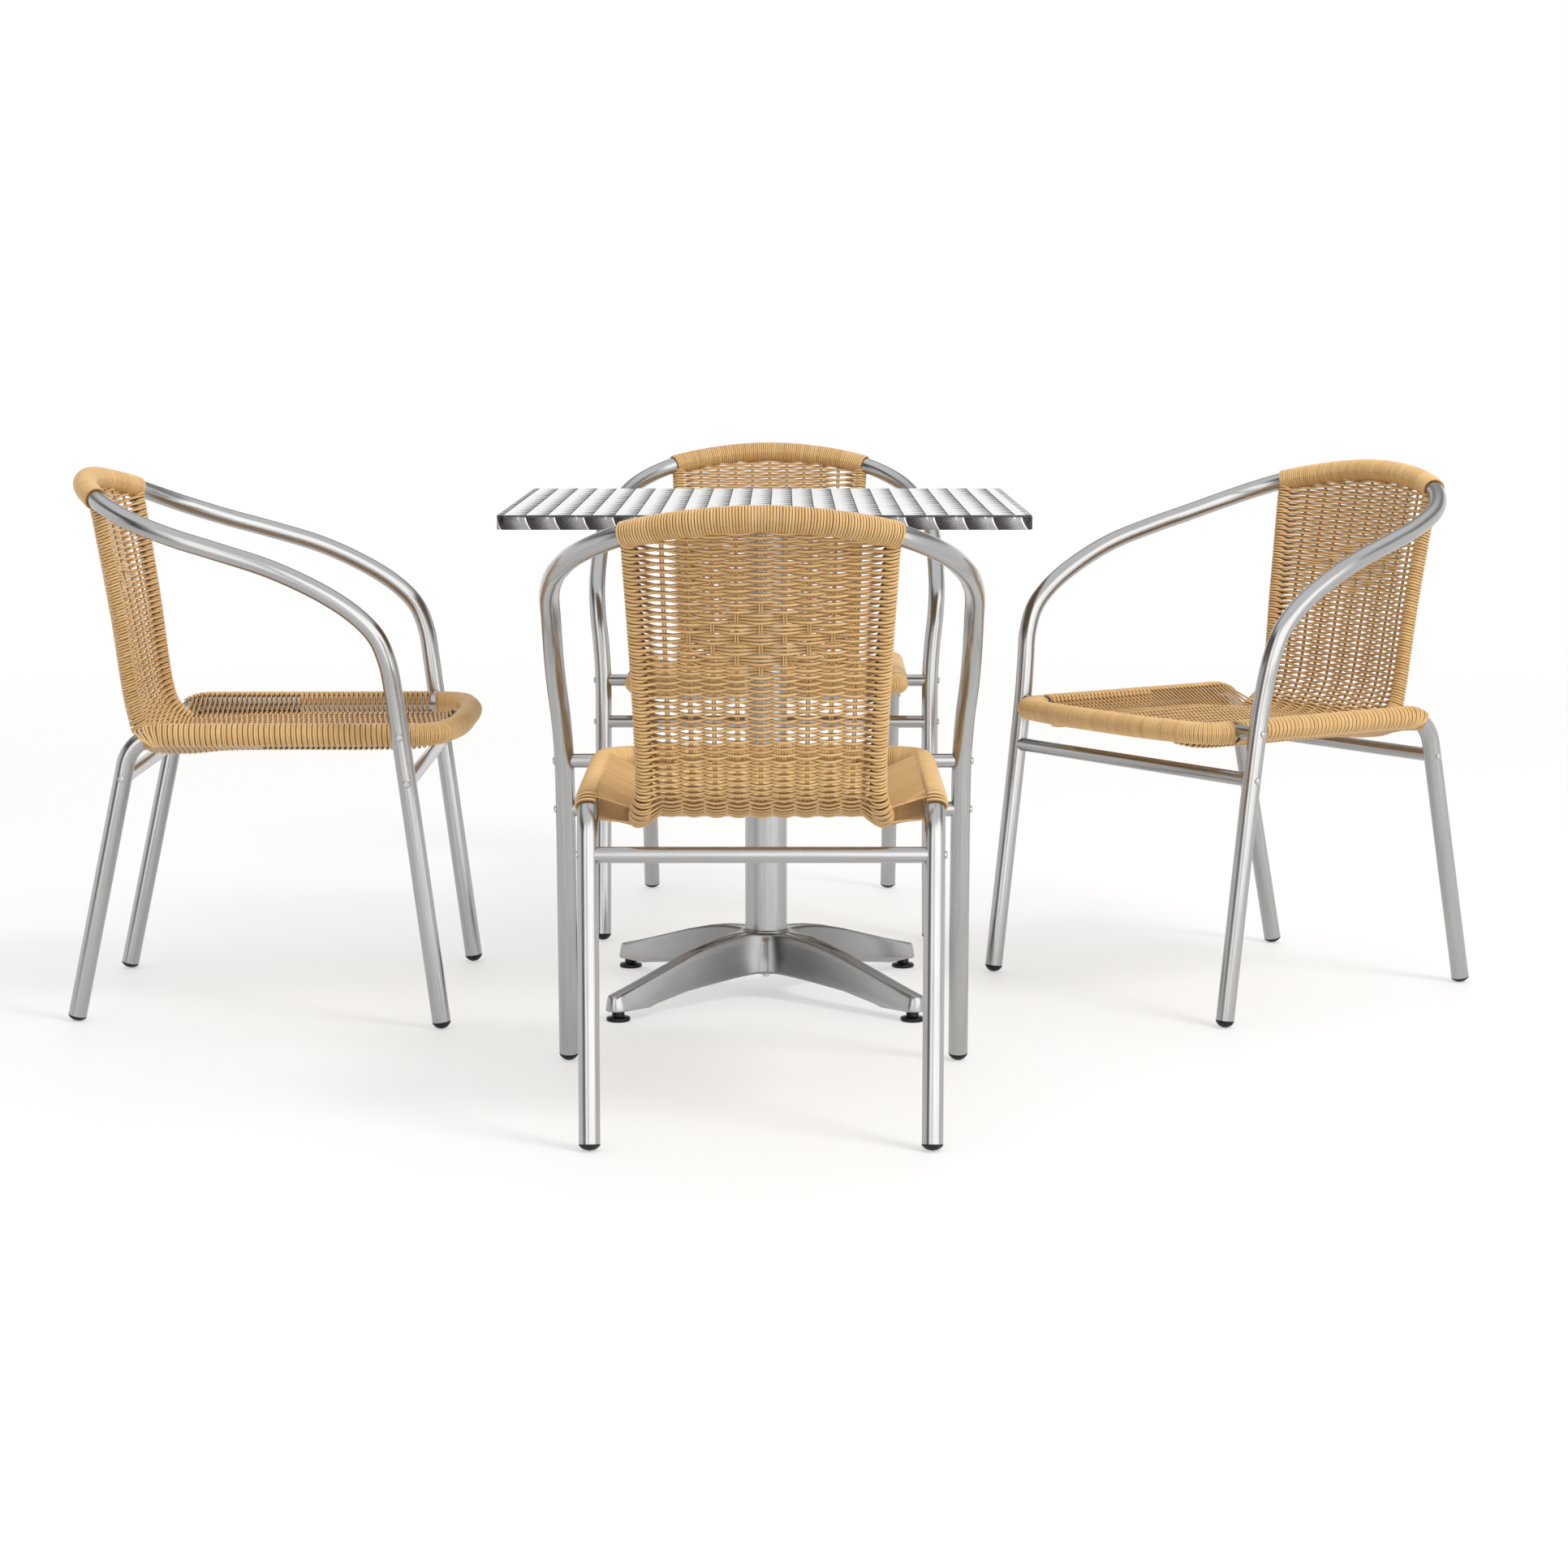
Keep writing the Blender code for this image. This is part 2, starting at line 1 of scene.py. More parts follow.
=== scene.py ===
"""Looks of the patio dining set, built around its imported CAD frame.

Every chair is the same, so each of its pieces is drawn once, in the chair's own frame (x across,
+y to its front, origin on the floor), and placed four times. The strands of the woven back and seat
are real geometry: rows that pass over and under pairs of stakes and turn round the sling's rods.
"""

import json
import math
from functools import partialmethod

import bpy
import numpy as np
from mathutils import Matrix, Vector

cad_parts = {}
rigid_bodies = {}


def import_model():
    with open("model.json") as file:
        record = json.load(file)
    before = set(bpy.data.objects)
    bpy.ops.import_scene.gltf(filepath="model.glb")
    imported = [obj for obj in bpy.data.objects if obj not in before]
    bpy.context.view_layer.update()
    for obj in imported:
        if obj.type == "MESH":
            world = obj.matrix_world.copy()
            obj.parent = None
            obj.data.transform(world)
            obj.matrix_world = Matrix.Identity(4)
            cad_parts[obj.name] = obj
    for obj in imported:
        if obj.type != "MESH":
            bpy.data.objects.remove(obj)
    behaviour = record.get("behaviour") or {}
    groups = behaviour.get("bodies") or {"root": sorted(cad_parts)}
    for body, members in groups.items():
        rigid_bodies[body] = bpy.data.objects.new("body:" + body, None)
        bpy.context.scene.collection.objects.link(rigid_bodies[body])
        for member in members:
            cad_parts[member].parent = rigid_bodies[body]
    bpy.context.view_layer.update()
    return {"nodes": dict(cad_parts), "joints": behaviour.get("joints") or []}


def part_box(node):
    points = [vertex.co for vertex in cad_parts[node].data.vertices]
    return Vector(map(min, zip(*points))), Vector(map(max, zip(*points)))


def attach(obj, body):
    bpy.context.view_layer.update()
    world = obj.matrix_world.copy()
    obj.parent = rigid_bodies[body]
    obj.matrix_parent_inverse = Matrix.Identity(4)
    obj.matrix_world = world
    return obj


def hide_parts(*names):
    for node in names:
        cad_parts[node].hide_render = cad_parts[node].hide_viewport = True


SEED = 7
CHAIRS = ("chair_near", "chair_far", "chair_left", "chair_right")

# ---- chair tubes, as in the CAD model
TUBE_RADIUS = 0.0125
ROD_RADIUS = 0.0060
STRETCHER_RADIUS = 0.0095
SPACER_RADIUS = 0.0090
FRONT_STRETCHER_Z = 0.334
REAR_STRETCHER_Z = 0.335
SPACER_Z = 0.397
BAR_POINTS = 5
ARM_FOOT = (0.2519, 0.2523, 0.0)
ARM_KNOTS = (
    (0.2510, 0.2138, 0.3000),
    (0.2520, 0.1998, 0.4050),
    (0.2554, 0.1931, 0.4550),
    (0.2600, 0.1860, 0.4964),
    (0.2622, 0.1720, 0.5312),
    (0.2623, 0.1480, 0.5576),
    (0.2611, 0.1070, 0.5860),
    (0.2581, 0.0360, 0.6201),
    (0.2482, -0.0470, 0.6464),
    (0.2380, -0.0980, 0.6612),
    (0.2158, -0.1580, 0.6819),
    (0.1858, -0.1950, 0.6982),
    (0.1500, -0.2203, 0.7110),
    (0.0780, -0.2464, 0.7244),
    (0.0000, -0.2537, 0.7299),
)
SEAT_FOOT = (0.1980, -0.2530, 0.0)
SEAT_CORNERS = (
    ((0.2025, -0.1683, 0.3930), 0.050),
    ((0.2025, 0.2440, 0.3940), 0.042),
    ((0.1000, 0.2670, 0.3950), 0.300),
)
SLING_KNOTS = (
    (0.1500, -0.2195, 0.7230),
    (0.1490, -0.2150, 0.6930),
    (0.1405, -0.1935, 0.5500),
    (0.1358, -0.1760, 0.4200),
    (0.1385, -0.1650, 0.3900),
    (0.1440, -0.1440, 0.3730),
    (0.1490, -0.1000, 0.3705),
    (0.1515, -0.0500, 0.3750),
    (0.1515, 0.0400, 0.3762),
    (0.1515, 0.1500, 0.3762),
    (0.1475, 0.2200, 0.3785),
    (0.1290, 0.2400, 0.3835),
    (0.0600, 0.2430, 0.3850),
)
FRONT_DOME_RADIUS = 0.0135
REAR_DOME_RADIUS = 0.0160
CAP_BAND = 0.0015
SCREW_RADIUS = 0.0050
SCREW_HEIGHT = 0.0030
CROSS_REACH = 0.0033
CROSS_WIDTH = 0.00085
CROSS_DEPTH = 0.0020

# ---- strands
STAKES = range(-4, 5)
STAKE_PITCH = (0.0284, 0.0264)  # at the top of the back, and from its bottom forwards
STAKE_RADIUS = 0.00135
ROW_RADIUS = 0.00195
ROW_STEPS = 8  # from one stake to the next, and of a half turn round a rod
FIRST_ROW_Z = 0.7175
LAST_ROW_Y = 0.2385
TOP_ROWS = 0.050  # rows within this length of the rods' top may meet the top rail
TOP_ROW_REACH = 0.155  # and are drawn below it, up to here on both sides
ROW_PITCH = (0.00425, 0.00395, 0.00365)  # top of the back, bottom of the back, seat
OVER_STAKE = 0.0031
# a row dips where it passes behind a stake and rises where it passes in front, which opens the weave
WAVE_TOP = 0.0008
WAVE_LOW = (0.0026, 0.0037)  # even stakes, odd stakes, from the middle of the back down
WAVE_EDGE = 0.0037
WAVE_OPENS_Z = (0.600, 0.520)
CELL_SPREAD = 0.0005
BACK_BOW = (0.0310, 0.0100)  # how far the back hollows out at the top and at the bottom
SEAT_SAG = 0.0030
SEAT_LIFT = 0.0085  # the seat panel lies this far above the rods' axis
BEND_Z = 0.400
TURN_Z = 0.430  # here the panel starts to rise onto the seat
TURN_LENGTH = 0.075
DIAMOND_Z = 0.5970
DIAMOND_ROWS = 10
EDGE_LOOP = 0.0090  # radius of the loops round a rod of the back
LOOP_RADIUS = 0.0021
LOOP_STEPS = 16
LOOPS_TOP_Z = 0.700
LOOPS_PAST_BEND = 0.045
CORNER_PAIRING = 0.25  # of a pitch that each loop moves towards its row there
CORNER_LOOP = 0.0130  # they open out where the back turns into the seat
SEAT_LOOP = 0.0078
TOP_WRAP = (0.1555, 0.00345, 0.00175)  # reach from the middle, pitch, strand radius
SIDE_PITCH = 0.00362
SIDE_STRAND = 0.00188
SIDE_PAIRING = 0.10  # of a pitch that the two turns of a pair move towards each other
OPEN_TURN = (-105, 128)  # degrees: a turn that goes on to the rod doesn't cover the rail's inner side
RING_STEPS = 20
LEGS_END_Z = 0.370
WRAP_REAR_Y = -0.150
STUB_GAP = 0.0052
FRONT_WRAP_PITCH = 0.0030
STRIP_RADIUS = 0.00140
OVER_STEPS = 8  # of a strip over the rail
STRIPS_REAR_Y = -0.158  # on the rod
LOWER_STRIPS_END_Y = 0.007

# ---- table, as in the CAD model
RIM_HEIGHT = 0.0190
CORNER_RADIUS = 0.0140
EDGE_ROLL = 0.0025
COLUMN_RADIUS = 0.0295
TOP_COLUMN_PITCH = 0.02894
TOP_COLUMN_START = 0.3393  # the first whole column, from the middle
TOP_SWIRL_PITCH = 0.0355
SWIRL_RADIUS = 0.0200
RIM_SWIRL_PITCH = 0.03795
RIM_SWIRL_START = 0.415
TOP_STAGGER = 0.37  # of a pitch, from each column to the next
COLLAR_PROFILE = (
    # (out from the column's wall, up from its foot)
    (0.0040, -0.0012), (0.0040, 0.0006), (0.0030, 0.0018), (0.0004, 0.0022),
)
GLIDE_PROFILE = (
    # (radius, height above the floor)
    (0.0100, 0.0), (0.0146, 0.0), (0.0160, 0.0006), (0.0165, 0.0018), (0.0165, 0.0042),
    (0.0160, 0.0052), (0.0148, 0.0058), (0.0096, 0.0066), (0.0087, 0.0074),
)
BASE_TOP = (
    # (distance from the axis, height) along an arm's ridge
    (0.0, 0.0920), (0.0450, 0.0920), (0.0620, 0.0912), (0.0800, 0.0895), (0.1000, 0.0864),
    (0.1200, 0.0828), (0.1500, 0.0755), (0.2850, 0.0370), (0.3020, 0.0345),
)
BASE_UNDER = (
    (0.0, 0.0380), (0.0500, 0.0380), (0.2250, 0.0235), (0.2310, 0.0205), (0.2340, 0.0165),
    (0.2390, 0.0150), (0.3020, 0.0150),
)
BASE_STEP = (0.2250, 0.3000)  # where the under line drops to the pad at the tip
BASE_HUB = 0.0280
BASE_SECTION = (
    # (half width, fillet, reach, height share above the under edge)
    (0.0126, 0.0218, 0.3016, -0.02),
    (0.0130, 0.0224, 0.3020, 0.0),
    (0.0130, 0.0224, 0.3020, 0.04),
    (0.0116, 0.0200, 0.3013, 0.40),
    (0.0102, 0.0174, 0.3004, 0.78),
    (0.0095, 0.0164, 0.2996, 0.93),
    (0.0088, 0.0155, 0.2988, 0.985),
    (0.0079, 0.0144, 0.2979, 1.0),
)

# ---- studio: (degrees round from behind the camera, positive to its right; brightness)
STUDIO_RING = (
    (-180, 0.36), (-105, 0.32), (-88, 0.10), (-52, 0.08), (-40, 0.60), (-34, 2.20), (-16, 2.20),
    (-11, 0.80), (-5, 0.80), (-1, 2.40), (68, 2.40), (80, 0.50), (105, 0.40), (180, 0.36),
)
RING_BRIGHTEST = 2.5
CEILING = 1.15
BACKDROP = 1.1
SKY = (0.42, 0.72)  # brightness at the horizon, and its gain overhead, for soft light
KEY_PLACE, KEY_TARGET = (3.0, -2.6, 4.4), (0.0, 0.0, 0.3)
KEY_SIZE, KEY_POWER = 1.5, 150
FLOOR_RADIUS = 14.0
FLOOR_FADE = (1.6, 5.5)

# ---- camera: the middle of the view from the column's axis
CAMERA_FROM_COLUMN = (0.0254, -4.979, 0.9651)
CAMERA_PITCH = 7.614
LENS_MM = 81.71


# ---------------- lines


def unit(vectors):
    return vectors / np.linalg.norm(vectors, axis=-1, keepdims=True)


def through(knots, steps):
    """Points on a centripetal Catmull-Rom spline through the knots."""
    points = [np.array(knot, float) for knot in knots]
    ends = [points[0] * 2 - points[1], *points, points[-1] * 2 - points[-2]]
    curve = []
    for a, b, c, d in zip(ends, ends[1:], ends[2:], ends[3:]):
        t1 = math.sqrt(np.linalg.norm(b - a))
        t2 = t1 + math.sqrt(np.linalg.norm(c - b))
        t3 = t2 + math.sqrt(np.linalg.norm(d - c))
        for t in np.linspace(t1, t2, steps, endpoint=False):
            ab = a + (b - a) * t / t1
            bc = b + (c - b) * (t - t1) / (t2 - t1)
            cd = c + (d - c) * (t - t2) / (t3 - t2)
            abc = ab + (bc - ab) * t / t2
            bcd = bc + (cd - bc) * (t - t1) / (t3 - t1)
            curve.append(abc + (bcd - abc) * (t - t1) / (t2 - t1))
    return np.array([*curve, points[-1]])


def bent(corners, per_step=math.radians(6)):
    """A bent tube's centre line: straight runs joined by arcs, from (point, bend radius) pairs."""
    line = [np.array(corners[0][0], float)]
    for (a, _), (b, radius), (c, _) in zip(corners, corners[1:], corners[2:]):
        corner = np.array(b, float)
        back, ahead = unit(np.array(a) - corner), unit(np.array(c) - corner)
        inside = math.acos(back @ ahead)
        centre = corner + unit(back + ahead) * radius / math.sin(inside / 2)
        start = corner + back * radius / math.tan(inside / 2) - centre
        end = corner + ahead * radius / math.tan(inside / 2) - centre
        turn = math.pi - inside
        steps = max(2, round(turn / per_step))
        for i in range(steps + 1):
            share = i / steps
            mix = math.sin((1 - share) * turn) * start + math.sin(share * turn) * end
            line.append(centre + mix / math.sin(turn))
    return np.array([*line, corners[-1][0]])


def mirrored(half):
    """The whole line from its right half, which runs inwards and may end on the middle."""
    other = half[::-1] * (-1, 1, 1)
    return np.concatenate([half, other[1:] if abs(half[-1][0]) < 1e-9 else other])


def lengths(line):
    steps = np.linalg.norm(np.diff(line, axis=0), axis=1)
    return np.concatenate([[0.0], np.cumsum(steps)])


def at_lengths(line, wanted):
    """Points of a line at lengths along it."""
    along = lengths(line)
    return np.stack([np.interp(wanted, along, line[:, axis]) for axis in range(3)], axis=-1)


def where(line, axis, value):
    """The length along a line where it first passes a value of one coordinate."""
    along = lengths(line)
    for i in range(len(line) - 1):
        a, b = line[i][axis], line[i + 1][axis]
        if a != b and min(a, b) <= value <= max(a, b):
            return along[i] + (along[i + 1] - along[i]) * (value - a) / (b - a)
    raise ValueError(f"the line never passes {value}")


def transported(line, normal=None):
    """A normal at each point of a line, turned along it without twist from the given one."""
    along = unit(np.gradient(line, axis=0))
    if normal is None:
        normal = np.array((1.0, 0.0, 0.0) if abs(along[0][2]) > 0.9 else (0.0, 0.0, 1.0))
    normals = []
    for direction in along:
        normal = unit(normal - direction * (normal @ direction))
        normals.append(normal)
    return np.array(normals)


# ---------------- meshes


class Shape:
    """A mesh gathered from swept pieces. Each point also gets its place on the piece's own skin,
    which the fine streaks of the materials follow, and its piece's tint."""

    def __init__(self, seed=SEED):
        self.points, self.faces, self.skins, self.tints = [], [], [], []
        self.count = 0
        self.random = np.random.default_rng(seed)

    def grid(self, rings, skin=None, tint=None, closed=True, capped=True):
        """Rings of points bridged in order. A capped grid's end rings become faces."""
        rings = np.asarray(rings, float)
        n, sides = rings.shape[:2]
        ids = self.count + np.arange(n * sides).reshape(n, sides)
        after = np.roll(ids, -1, axis=1)
        quads = np.stack([ids[:-1], after[:-1], after[1:], ids[1:]], axis=-1)
        if not closed:
            quads = quads[:, :-1]
        self.faces += quads.reshape(-1, 4).tolist()
        if capped:
            self.faces += [ids[0][::-1].tolist(), ids[-1].tolist()]
        self.points.append(rings.reshape(-1, 3))
        self.skins.append((rings if skin is None else skin).reshape(-1, 3))
        shade = self.random.uniform() if tint is None else tint
        self.tints.append(np.full(n * sides, shade))
        self.count += n * sides

    def strand(self, line, normals, radius, sides=6, tint=None, looped=False):
        """A round strand along a line. A looped one's end meets its start."""
        line = np.asarray(line, float)
        if looped:
            along = unit(np.roll(line, -1, axis=0) - np.roll(line, 1, axis=0))
        else:
            along = unit(np.gradient(line, axis=0))
        across = unit(np.cross(along, normals))
        up = np.cross(across, along)
        angles = 2 * np.pi * (np.arange(sides) + 0.5) / sides
        spread = np.broadcast_to(np.asarray(radius, float), len(line))[:, None, None]
        out = np.cos(angles)[None, :, None] * across[:, None] + np.sin(angles)[None, :, None] * up[:, None]
        rings = line[:, None] + spread * out
        start = self.random.uniform(0, 5)
        run = np.broadcast_to((lengths(line) + start)[:, None], (len(line), sides))
        skin = np.stack(
            [spread[..., 0] * np.cos(angles), spread[..., 0] * np.sin(angles), run], axis=-1
        )
        if looped:
            rings, skin = (np.concatenate([part, part[:1]]) for part in (rings, skin))
        self.grid(rings, skin, tint, capped=not looped)

    def turned(self, profile, sides=32, place=None, tint=0.5):
        """A turned piece from (radius, height) pairs."""
        angles = 2 * np.pi * np.arange(sides) / sides
        radii = np.array([radius for radius, _ in profile])
        heights = np.array([height for _, height in profile])
        rings = np.stack(
            [np.outer(radii, np.cos(angles)), np.outer(radii, np.sin(angles)),
             np.repeat(heights[:, None], sides, axis=1)], axis=-1
        )
        skin = rings.copy()
        if place is not None:
            matrix = np.array(place)
            rings = rings @ matrix[:3, :3].T + matrix[:3, 3]
        self.grid(rings, skin, tint)

    def mesh(self, name, sharp=None):
        made = bpy.data.meshes.new(name)
        made.from_pydata(np.concatenate(self.points).tolist(), [], self.faces)
        made.attributes.new("skin", "FLOAT_VECTOR", "POINT").data.foreach_set(
            "vector", np.concatenate(self.skins).astype(np.float32).ravel()
        )
        made.attributes.new("tint", "FLOAT", "POINT").data.foreach_set(
            "value", np.concatenate(self.tints).astype(np.float32)
        )
        made.shade_smooth()
        if sharp:
            made.set_sharp_from_angle(angle=math.radians(sharp))
        return made


# ---------------- materials


class Value:
    """A number, vector or colour that nodes work out. Arithmetic on it adds the nodes it needs."""

    def __init__(self, nodes, socket):
        self.nodes, self.socket = nodes, socket

    def to(self, operation, *others):
        return self.nodes.math(operation, self, *others)

    __add__ = partialmethod(to, "ADD")
    __sub__ = partialmethod(to, "SUBTRACT")
    __mul__ = partialmethod(to, "MULTIPLY")
    __truediv__ = partialmethod(to, "DIVIDE")
    __pow__ = partialmethod(to, "POWER")
    __abs__ = partialmethod(to, "ABSOLUTE")

    def __rsub__(self, other):
        return self.nodes.math("SUBTRACT", other, self)

    def clipped(self):
        return self.to("MAXIMUM", 0.0).to("MINIMUM", 1.0)

    def split(self):
        made = self.nodes.node("ShaderNodeSeparateXYZ", {0: self})
        return [Value(self.nodes, socket) for socket in made.outputs]

    def length(self):
        return self.nodes.value("ShaderNodeVectorMath", {0: self}, "Value", operation="LENGTH")

    def scaled(self, scale):
        return self.nodes.value("ShaderNodeMapping", {"Vector": self, "Scale": scale})

    def ranged(self, start, end, **settings):
        """0 at start and 1 at end, and no further."""
        inputs = {"Value": self, "From Min": start, "From Max": end}
        return self.nodes.value("ShaderNodeMapRange", inputs, **settings)

    def eased(self, start, end):
        """0 at start and 1 at end, with soft ends."""
        return self.ranged(start, end, interpolation_type="SMOOTHSTEP")


class Nodes:
    """Short calls for the nodes of a material or world."""

    def __init__(self, owner):
        self.owner = owner
        owner.use_nodes = True
        self.tree = owner.node_tree

    def give(self, socket, value):
        """Links what nodes work out to a socket, or sets a constant. A colour's alpha is 1."""
        if isinstance(value, Value):
            self.tree.links.new(value.socket, socket)
        else:
            socket.default_value = (*value, 1.0) if socket.type == "RGBA" else value

    def node(self, kind, inputs=(), **settings):
        made = self.tree.nodes.new(kind)
        for key, value in settings.items():
            setattr(made, key, value)
        for key, value in dict(inputs).items():
            self.give(made.inputs[key], value)
        return made

    def value(self, kind, inputs=(), output=0, **settings):
        return Value(self, self.node(kind, inputs, **settings).outputs[output])

    def math(self, operation, *operands):
        return self.value("ShaderNodeMath", enumerate(operands), operation=operation)

    def attribute(self, name, output="Vector"):
        return self.value("ShaderNodeAttribute", output=output, attribute_name=name)

    def coordinate(self, output):
        return self.value("ShaderNodeTexCoord", output=output)

    def noise(self, vector, scale, detail=2.0, rough=0.5):
        inputs = {"Vector": vector, "Scale": scale, "Detail": detail, "Roughness": rough}
        return self.value("ShaderNodeTexNoise", inputs)

    def ramp(self, factor, *stops):
        """A colour ramp from (place, grey or colour) pairs."""
        made = self.node("ShaderNodeValToRGB", {"Fac": factor})
        elements = made.color_ramp.elements
        while len(elements) < len(stops):
            elements.new(0.5)
        for element, (place, colour) in zip(elements, stops):
            element.position = place
            element.color = (*(colour if isinstance(colour, tuple) else (colour,) * 3), 1.0)
        return Value(self, made.outputs[0])

    def mixed(self, factor, a, b):
        """A mix of two colours, whose sockets come after those for numbers and vectors."""
        return self.value("ShaderNodeMix", {0: factor, 6: a, 7: b}, 2, data_type="RGBA")

    def bump(self, height, strength, distance):
        return self.value("ShaderNodeBump", {"Height": height, "Strength": strength, "Distance": distance})

    def finish(self, shader="Principled BSDF", **sockets):
        """Gives the shader's sockets, whose names are written with _ for a space."""
        for key, value in sockets.items():
            self.give(self.tree.nodes[shader].inputs[key.replace("_", " ")], value)
        return self.owner


def material(name):
    return Nodes(bpy.data.materials.new(name))


def times(colour, share):
    return tuple(value * share for value in colour)


def drawn_metal(name, colour, roughness, streak, speckle):
    """Drawn tube: satin metal with fine streaks along its length."""
    nodes = material(name)
    skin = nodes.attribute("skin")
    fine = nodes.noise(skin.scaled((1.0, 1.0, 0.012)), 900.0, 3.0, 0.6)
    broad = nodes.noise(skin.scaled((1.0, 1.0, 0.06)), 160.0)
    grain = nodes.noise(skin, 2600.0, 1.0)
    level = fine * 0.65 + broad * 0.35 + grain * speckle
    return nodes.finish(
        Base_Color=nodes.ramp(level, (0.30, times(colour, 1 - streak)), (0.72, colour)),
        Metallic=1.0,
        Roughness=fine * 0.16 + (roughness - 0.06),
        Normal=nodes.bump(fine, 0.10, 0.0006),
    )


def cast_metal(name, colour, roughness):
    """Satin casting: fine orange-peel grain with slightly uneven polish, and painted shade that darkens it
    towards the hub.
    """
    nodes = material(name)
    place = nodes.coordinate("Object")
    grain = nodes.noise(place, 800.0, 1.0)
    cloud = nodes.noise(place, 14.0, 1.0)
    shade = nodes.ramp(
        grain * 0.70 + cloud * 0.30, (0.25, times(colour, 0.78)), (0.75, times(colour, 1.12))
    )
    # painted shade: the colour darkens to 55% towards the hub
    from_axis = place.scaled((1.0, 1.0, 0.0)).length()
    return nodes.finish(
        Base_Color=nodes.mixed(from_axis.eased(0.26, 0.07), shade, times(colour, 0.55)),
        Metallic=1.0,
        Roughness=cloud * 0.08 + (roughness - 0.04),
        Normal=nodes.bump(grain, 0.04, 0.0003),
    )


def rattan(name, painted_crevice_shade):
    """Extruded strand: each with its own tan, faintly streaked along its length, and with painted shade,
    as strong as the given share, on its sides towards its neighbours."""
    nodes = material(name)
    skin = nodes.attribute("skin")
    streak = nodes.noise(skin.scaled((1.0, 1.0, 0.05)), 1700.0)
    cloud = nodes.noise(skin, 45.0)
    level = nodes.attribute("tint", "Fac") * 0.28 + streak * 0.30 + cloud * 0.28 + 0.07
    shade = nodes.ramp(
        level, (0.18, (0.600, 0.350, 0.130)), (0.50, (0.740, 0.475, 0.200)), (0.82, (0.830, 0.575, 0.275))
    )
    # painted shade: the strand's sides towards its neighbours are darkened to a deep brown
    across, outwards, _ = skin.split()
    across, outwards = across**2.0, outwards**2.0
    side = across / (across + outwards).to("MAXIMUM", 1e-9)
    return nodes.finish(
        Base_Color=nodes.mixed(side.eased(0.30, 1.0) * painted_crevice_shade, shade, (0.25, 0.090, 0.025)),
        Roughness=streak * 0.16 + 0.38,
        Normal=nodes.bump(streak, 0.18, 0.0004),
        Coat_Weight=0.25,
        Coat_Roughness=0.28,
        IOR=1.45,
    )


def moulded(name, colour, roughness, grain_scale=900.0):
    """Moulded plastic with a fine spark-eroded grain."""
    nodes = material(name)
    grain = nodes.noise(nodes.coordinate("Object"), grain_scale)
    return nodes.finish(
        Base_Color=nodes.ramp(grain, (0.3, times(colour, 0.8)), (0.7, colour)),
        Roughness=grain * 0.18 + (roughness - 0.09),
        Normal=nodes.bump(grain, 0.15, 0.0004),
        Specular_IOR_Level=0.28,
    )


def swirled_top(name):
    """Metal polished in overlapping swirls: columns along y of scales whose far edges are arcs, with
    painted reflections that make them bright on their left and dark on their right."""
    nodes = material(name)
    skin = nodes.attribute("skin")
    x, y, _ = skin.split()
    column = (x + TOP_COLUMN_START) / TOP_COLUMN_PITCH
    share = column.to("FRACT")
    off = (share - 0.5) * TOP_COLUMN_PITCH
    chord = (SWIRL_RADIUS**2 - off * off).to("SQRT")
    row = (y - chord) / TOP_SWIRL_PITCH + column.to("FLOOR") * TOP_STAGGER
    place = row.to("FRACT")
    # painted reflection on each scale: a dark wedge that widens and darkens to the right
    border = abs(x).to("GREATER_THAN", TOP_COLUMN_START)
    share = share.to("MAXIMUM", border * 0.72)
    side = share.eased(0.05, 1.0)
    peak = 1.0 - abs(place * 2.0 - 1.0)
    wide = 1.0 - share.eased(-0.20, 0.85) * 0.72
    wedge = ((peak - wide) / 0.40).clipped() * (side * 0.40 + 0.27)
    # a painted dark line along each column's right border
    edge = share.eased(0.93, 0.975) * 0.42
    grain = nodes.noise(skin.scaled((1.0, 0.35, 1.0)), 1500.0)
    cloud = nodes.noise(skin.scaled((1.0, 0.6, 1.0)), 26.0, 1.0)
    # how dark the painted reflection makes the metal, with some random tone from grain and cloud
    painted_dark = (side**1.8 * 0.40 + wedge + edge + grain * 0.10 + cloud * 0.24 - 0.20).clipped()
    return nodes.finish(
        Base_Color=nodes.ramp(painted_dark, (0.0, 0.98), (0.45, (0.46, 0.46, 0.463)), (1.0, (0.035, 0.035, 0.036))),
        Metallic=1.0 - painted_dark.eased(0.08, 0.30),
        Roughness=grain * 0.10 + 0.22,
        Normal=nodes.bump(share * 0.12 - place * 0.25, 0.25, 0.0004),
        Specular_IOR_Level=0.0,
    )


